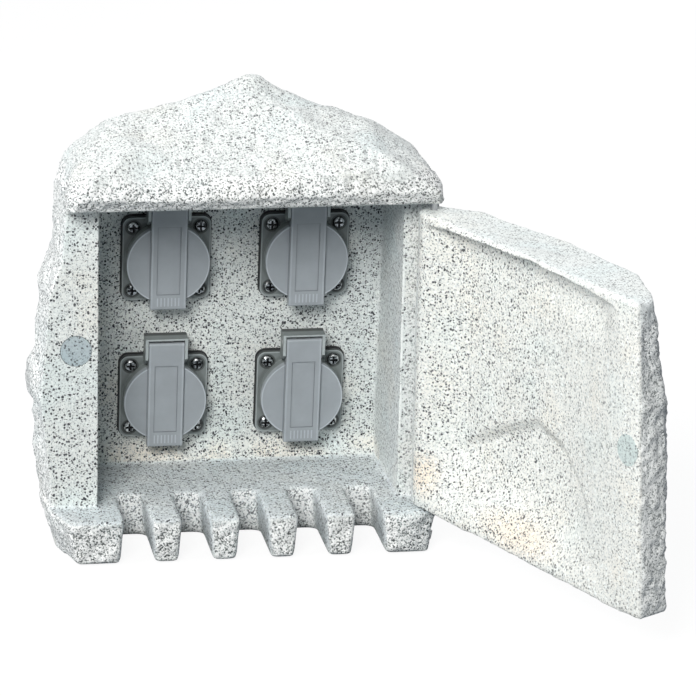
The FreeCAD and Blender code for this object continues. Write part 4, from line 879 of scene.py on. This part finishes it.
SCREW_HALF = 19.0
FLANGE_HALF, FLANGE_CORNER, FLANGE_FRONT = 25.0, 5.0, 4.5
COLLAR_RADIUS = 24.2
HOOD_FRONT, HOOD_TOP, HOOD_SHADE = 15.5, 39.5, 9.5
DISC_RADIUS, DISC_FRONT = 22.95, 13.9
STRIP_HALF, STRIP_BACK = 10.0, 14.2
PANEL_HALF, PANEL_TALL, PANEL_MIDDLE = 6.45, 20.3, 2.7
RIB_FRONT = 15.78
CROSS_REACH, CROSS_HALF = 2.4, 0.6


def finish_plastic(place, output, body, roughness, grain, size=0.5, marks=1.6):
    """Moulded plastic's gloss, which varies a little, and its fine eroded grain."""
    gloss = place.noise(marks * MM, 3.0) * 0.12 + (roughness - 0.06)
    height = place.noise(size * MM, 2.0, 0.6, 3.0)
    finish_material(place, output, {"Base Color": body, "Roughness": gloss, "Normal": height.bumps(grain)})


def make_plastic(name, colour, roughness, grain=0.05):
    """Moulded plastic with slight tone changes."""
    material, place, output = start_material(name)
    tone = place.noise(9 * MM, 3.0).step(0.3, 0.7)
    worn = place.noise(2.0 * MM, 4.0, 0.6).step(0.45, 0.75) * 0.25
    body = tone.blend(scaled(colour, 0.94), scaled(colour, 1.04))
    body = worn.blend(body, tuple(0.9 * part + 0.01 for part in colour))
    finish_plastic(place, output, body, roughness, grain)
    return material


def finish_metal(place, output, body, roughness, height):
    """Metal's gloss with faint marks, and its bumps."""
    gloss = place.noise(0.7 * MM, 3.0, 0.7) * 0.16 + (roughness - 0.05)
    finish_material(place, output, {"Base Color": body, "Metallic": 1.0, "Roughness": gloss,
                                    "Normal": height.bumps(0.02)})


def make_metal(name, colour, roughness):
    """Plated or turned metal."""
    material, place, output = start_material(name)
    body = place.noise(3.0 * MM, 2.0).step(0.4, 0.7).blend(colour, scaled(colour, 0.86))
    finish_metal(place, output, body, roughness, place.noise(0.7 * MM, 3.0, 0.7))
    return material


def own_places(place):
    """A point's place on its own socket, or screw: across, up and out from the wall, in millimetres."""
    return [place.attribute(name) for name in ("across", "up", "out")]


def make_socket_plastic(name, colour, roughness):
    """The socket's moulding with painted light: painted highlights on its rim and its hood's front, painted
    shade at its sides, on its hood's top, in its screw wells and in a ring round the lid.
    """
    material, place, output = start_material(name)
    across, up, out = own_places(place)
    on_flange = out < FLANGE_FRONT
    straight = FLANGE_HALF - FLANGE_CORNER
    from_core = (abs(across) - straight).over(0.0).to_length((abs(up) - straight).over(0.0))
    # painted highlight along the flange's rounded rim
    rim = from_core.line(FLANGE_CORNER - 0.45, 0.32) * on_flange
    # painted shade on the flange's side faces
    side = from_core.step(FLANGE_CORNER - 0.14, FLANGE_CORNER - 0.03) * on_flange
    from_screw = (abs(across) - SCREW_HALF).to_length(abs(up) - SCREW_HALF)
    # painted shade in a ring round each screw
    screw_well_shade = from_screw.line(4.1, 0.55, 0.25) * on_flange
    # painted shade in a ring round the lid
    under = across.to_length(up).line(COLLAR_RADIUS, 1.0, 1.0) * on_flange
    # painted highlight on the hood's front face
    front = out.step(HOOD_FRONT - 0.35, HOOD_FRONT - 0.1)
    # painted shade on the hood's top
    hood_top_shade = up.step(HOOD_TOP - 0.4, HOOD_TOP - 0.1) * (HOOD_SHADE - out).step(-0.8, 0.8)
    worn = place.noise(2.0 * MM, 4.0, 0.6).step(0.45, 0.75) * 0.25
    body = place.noise(7 * MM, 3.0).step(0.3, 0.7).blend(scaled(colour, 0.93), scaled(colour, 1.05))
    body = (under * 0.45).blend(body, scaled(colour, 0.4))
    body = (screw_well_shade * 0.8).blend(body, scaled(colour, 0.22))
    body = (rim * 0.75).blend(body, (0.44, 0.48, 0.49))
    body = (front * 0.8).blend(body, (0.50, 0.55, 0.56))
    body = (side.over(hood_top_shade) * 0.85).blend(body, scaled(colour, 0.1))
    body = worn.blend(body, scaled(colour, 0.85))
    finish_plastic(place, output, body, roughness, 0.04)
    return material


def make_lid_plastic(name, colour, roughness):
    """The lid's moulding with painted light: painted highlights on its thin rims, its strip's shoulders and
    its rib's front, and painted shade where the strip meets the disc and round its panel.
    """
    material, place, output = start_material(name)
    across, up, out = own_places(place)
    disc = out < DISC_FRONT
    raised = out > STRIP_BACK
    # painted highlight round the disc's edge
    rim = across.to_length(up).line(DISC_RADIUS, 0.3) * disc
    # painted shadow on the disc beside the strip's foot
    strip_foot_shadow = abs(across).line(STRIP_HALF + 0.35, 0.3, 0.2) * disc
    # painted highlight along the strip's shoulders
    shoulder_highlight = abs(across).line(STRIP_HALF - 0.7, 0.4, 0.25) * raised
    # painted shade in a thin line round the panel
    panel = (abs(across) - PANEL_HALF).over(abs(up - PANEL_MIDDLE) - PANEL_TALL).line(0.0, 0.2) * raised
    # painted highlight on the rib's front face
    rib_highlight = out.step(RIB_FRONT, RIB_FRONT + 0.17)
    dull = place.noise(3.0 * MM, 4.0, 0.6).step(0.4, 0.75) * 0.2
    body = place.noise(11 * MM, 3.0).step(0.3, 0.7).blend(scaled(colour, 0.96), scaled(colour, 1.04))
    body = (rim * 0.75).blend(body, scaled(colour, 1.6))
    body = (strip_foot_shadow * 0.6).blend(body, scaled(colour, 0.3))
    body = (shoulder_highlight * 0.4).blend(body, scaled(colour, 1.5))
    body = (panel * 0.55).blend(body, scaled(colour, 0.35))
    body = (rib_highlight * 0.8).blend(body, scaled(colour, 1.5))
    body = dull.blend(body, scaled(colour, 0.88))
    finish_plastic(place, output, body, roughness, 0.03, 0.45, 1.8)
    return material


def make_cross_steel(name, roughness):
    """Chromed screw heads: painted reflection in dark and bright patches, and painted shade in the cross and
    round the head's foot.
    """
    material, place, output = start_material(name)
    across, up, _ = own_places(place)
    # painted shade in the cross recess
    upright = abs(across).line(0.0, CROSS_HALF, 0.15) * (abs(up) < CROSS_REACH)
    level = abs(up).line(0.0, CROSS_HALF, 0.15) * (abs(across) < CROSS_REACH)
    # painted shade round the head's foot
    foot = across.to_length(up).step(2.9, 3.3)
    # painted reflection: patches of dark and bright
    painted_reflection = place.noise(1.5 * MM, 2.0, 0.5).step(0.42, 0.58)
    body = painted_reflection.blend((0.11, 0.115, 0.12), (0.9, 0.92, 0.94))
    body = (foot * 0.85).blend(body, (0.05, 0.052, 0.055))
    body = (upright.over(level) * 0.95).blend(body, (0.012, 0.012, 0.014))
    finish_metal(place, output, body, roughness, place.noise(0.6 * MM, 2.0))
    return material


# each finish by its slot, or by its node where it has one of its own
FINISHES = {
    "cover_plastic": make_plastic("cover_plastic", (0.2, 0.21, 0.22), 0.55, 0.08),
    "black_rubber": make_plastic("black_rubber", (0.022, 0.023, 0.025), 0.7, 0.06),
    "screw_steel": make_metal("screw_steel", (0.78, 0.79, 0.81), 0.24),
    "magnet": make_stone("painted_magnet", (0.48, 0.555, 0.58), (0.6, 0.7, 0.78), 0.8),
    "door_magnet": make_stone("pale_painted_magnet", (0.60, 0.675, 0.66), (0.6, 0.7, 0.72), 0.6),
    "pin_steel": make_metal("pin_steel", (0.6, 0.61, 0.63), 0.32),
    "bush_plastic": make_plastic("bush_plastic", (0.6, 0.6, 0.58), 0.5),
    "gland_plastic": make_plastic("gland_plastic", (0.1, 0.1, 0.11), 0.5),
    "terminal_plastic": make_plastic("terminal_plastic", (0.8, 0.8, 0.77), 0.5),
    "socket_plastic": make_socket_plastic("socket_plastic", (0.215, 0.24, 0.24), 0.42),
    "lid_plastic": make_lid_plastic("lid_plastic", (0.355, 0.385, 0.415), 0.4),
    "cross_steel": make_cross_steel("cross_steel", 0.23),
    "insert_plastic": make_plastic("insert_plastic", (0.25, 0.26, 0.27), 0.5),
    "contact_metal": make_metal("contact_metal", (0.68, 0.68, 0.66), 0.35),
    "sleeve_brass": make_metal("sleeve_brass", (0.72, 0.57, 0.28), 0.3),
    "line_insulation": make_plastic("line_insulation", (0.23, 0.12, 0.06), 0.45),
    "neutral_insulation": make_plastic("neutral_insulation", (0.05, 0.15, 0.5), 0.45),
    "earth_insulation": make_plastic("earth_insulation", (0.25, 0.5, 0.08), 0.45),
}
SLOT_OF = {part["node"]: part["material_slot"] for part in frame["record"]["subparts"]}


# moulded parts with rounded edges

SOCKETS = ("top_left", "top_right", "bottom_left", "bottom_right")
WALL_LEAN = math.radians(6.0)
WALL_MIDDLE = np.array([0.0, 15.5, 108.3])
SOCKET_ACROSS, SOCKET_UP = 39.2, 42.2
SOCKET_MIDDLES = np.array([(side * SOCKET_ACROSS, level * SOCKET_UP)
                           for level in (1, -1) for side in (-1, 1)])
SCREW_CORNERS = np.array(list(product((-SCREW_HALF, SCREW_HALF), repeat=2)))
SCREW_MIDDLES = (SOCKET_MIDDLES[:, None, :] + SCREW_CORNERS[None, :, :]).reshape(-1, 2)


def marks_from(points, middles):
    """Each point's place on the wall from the nearest middle: across, up and out, in millimetres."""
    away = points - WALL_MIDDLE
    across = away[:, 0]
    up = away[:, 2] * math.cos(WALL_LEAN) - away[:, 1] * math.sin(WALL_LEAN)
    out = -away[:, 2] * math.sin(WALL_LEAN) - away[:, 1] * math.cos(WALL_LEAN)
    flat = np.stack([across, up], axis=1)
    nearest = middles[((flat[:, None, :] - middles[None, :, :]) ** 2).sum(axis=2).argmin(axis=1)]
    return {"across": across - nearest[:, 0], "up": up - nearest[:, 1], "out": out}


def softened(node, body, width, finish, middles=None):
    """A CAD node's form with its edges rounded, in place of the node."""
    points, faces = node_parts(node)
    mesh = joined_mesh(node, [(points, faces)])
    if middles is not None:
        for name, values in marks_from(points, middles).items():
            store(mesh, name, values)
    piece = show(f"{node}_moulded", mesh, body, SLOT_OF[node], FINISHES[finish], node)
    weld = piece.modifiers.new("weld", "WELD")
    weld.merge_threshold = 0.005 * MM
    bevel = piece.modifiers.new("bevel", "BEVEL")
    bevel.width = width * MM
    bevel.segments = 3
    bevel.limit_method = "ANGLE"
    bevel.angle_limit = math.radians(32)
    bevel.use_clamp_overlap = True
    bevel.harden_normals = True


for socket in SOCKETS:
    softened(f"{socket}_lid", f"{socket}_lid_body", 0.35, "lid_plastic", SOCKET_MIDDLES)
    softened(f"{socket}_socket_frame", "rock", 0.35, "socket_plastic", SOCKET_MIDDLES)
softened("flange_screws", "rock", 0.12, "cross_steel", SCREW_MIDDLES)
softened("rear_cover", "rock", 0.5, "cover_plastic")

for node, piece in frame["nodes"].items():
    if piece.hide_render:
        continue
    finish = FINISHES.get(node) or FINISHES.get(SLOT_OF[node], granite)
    if not piece.data.materials:
        piece.data.materials.append(finish)
    for index in range(len(piece.data.materials)):
        piece.data.materials[index] = finish
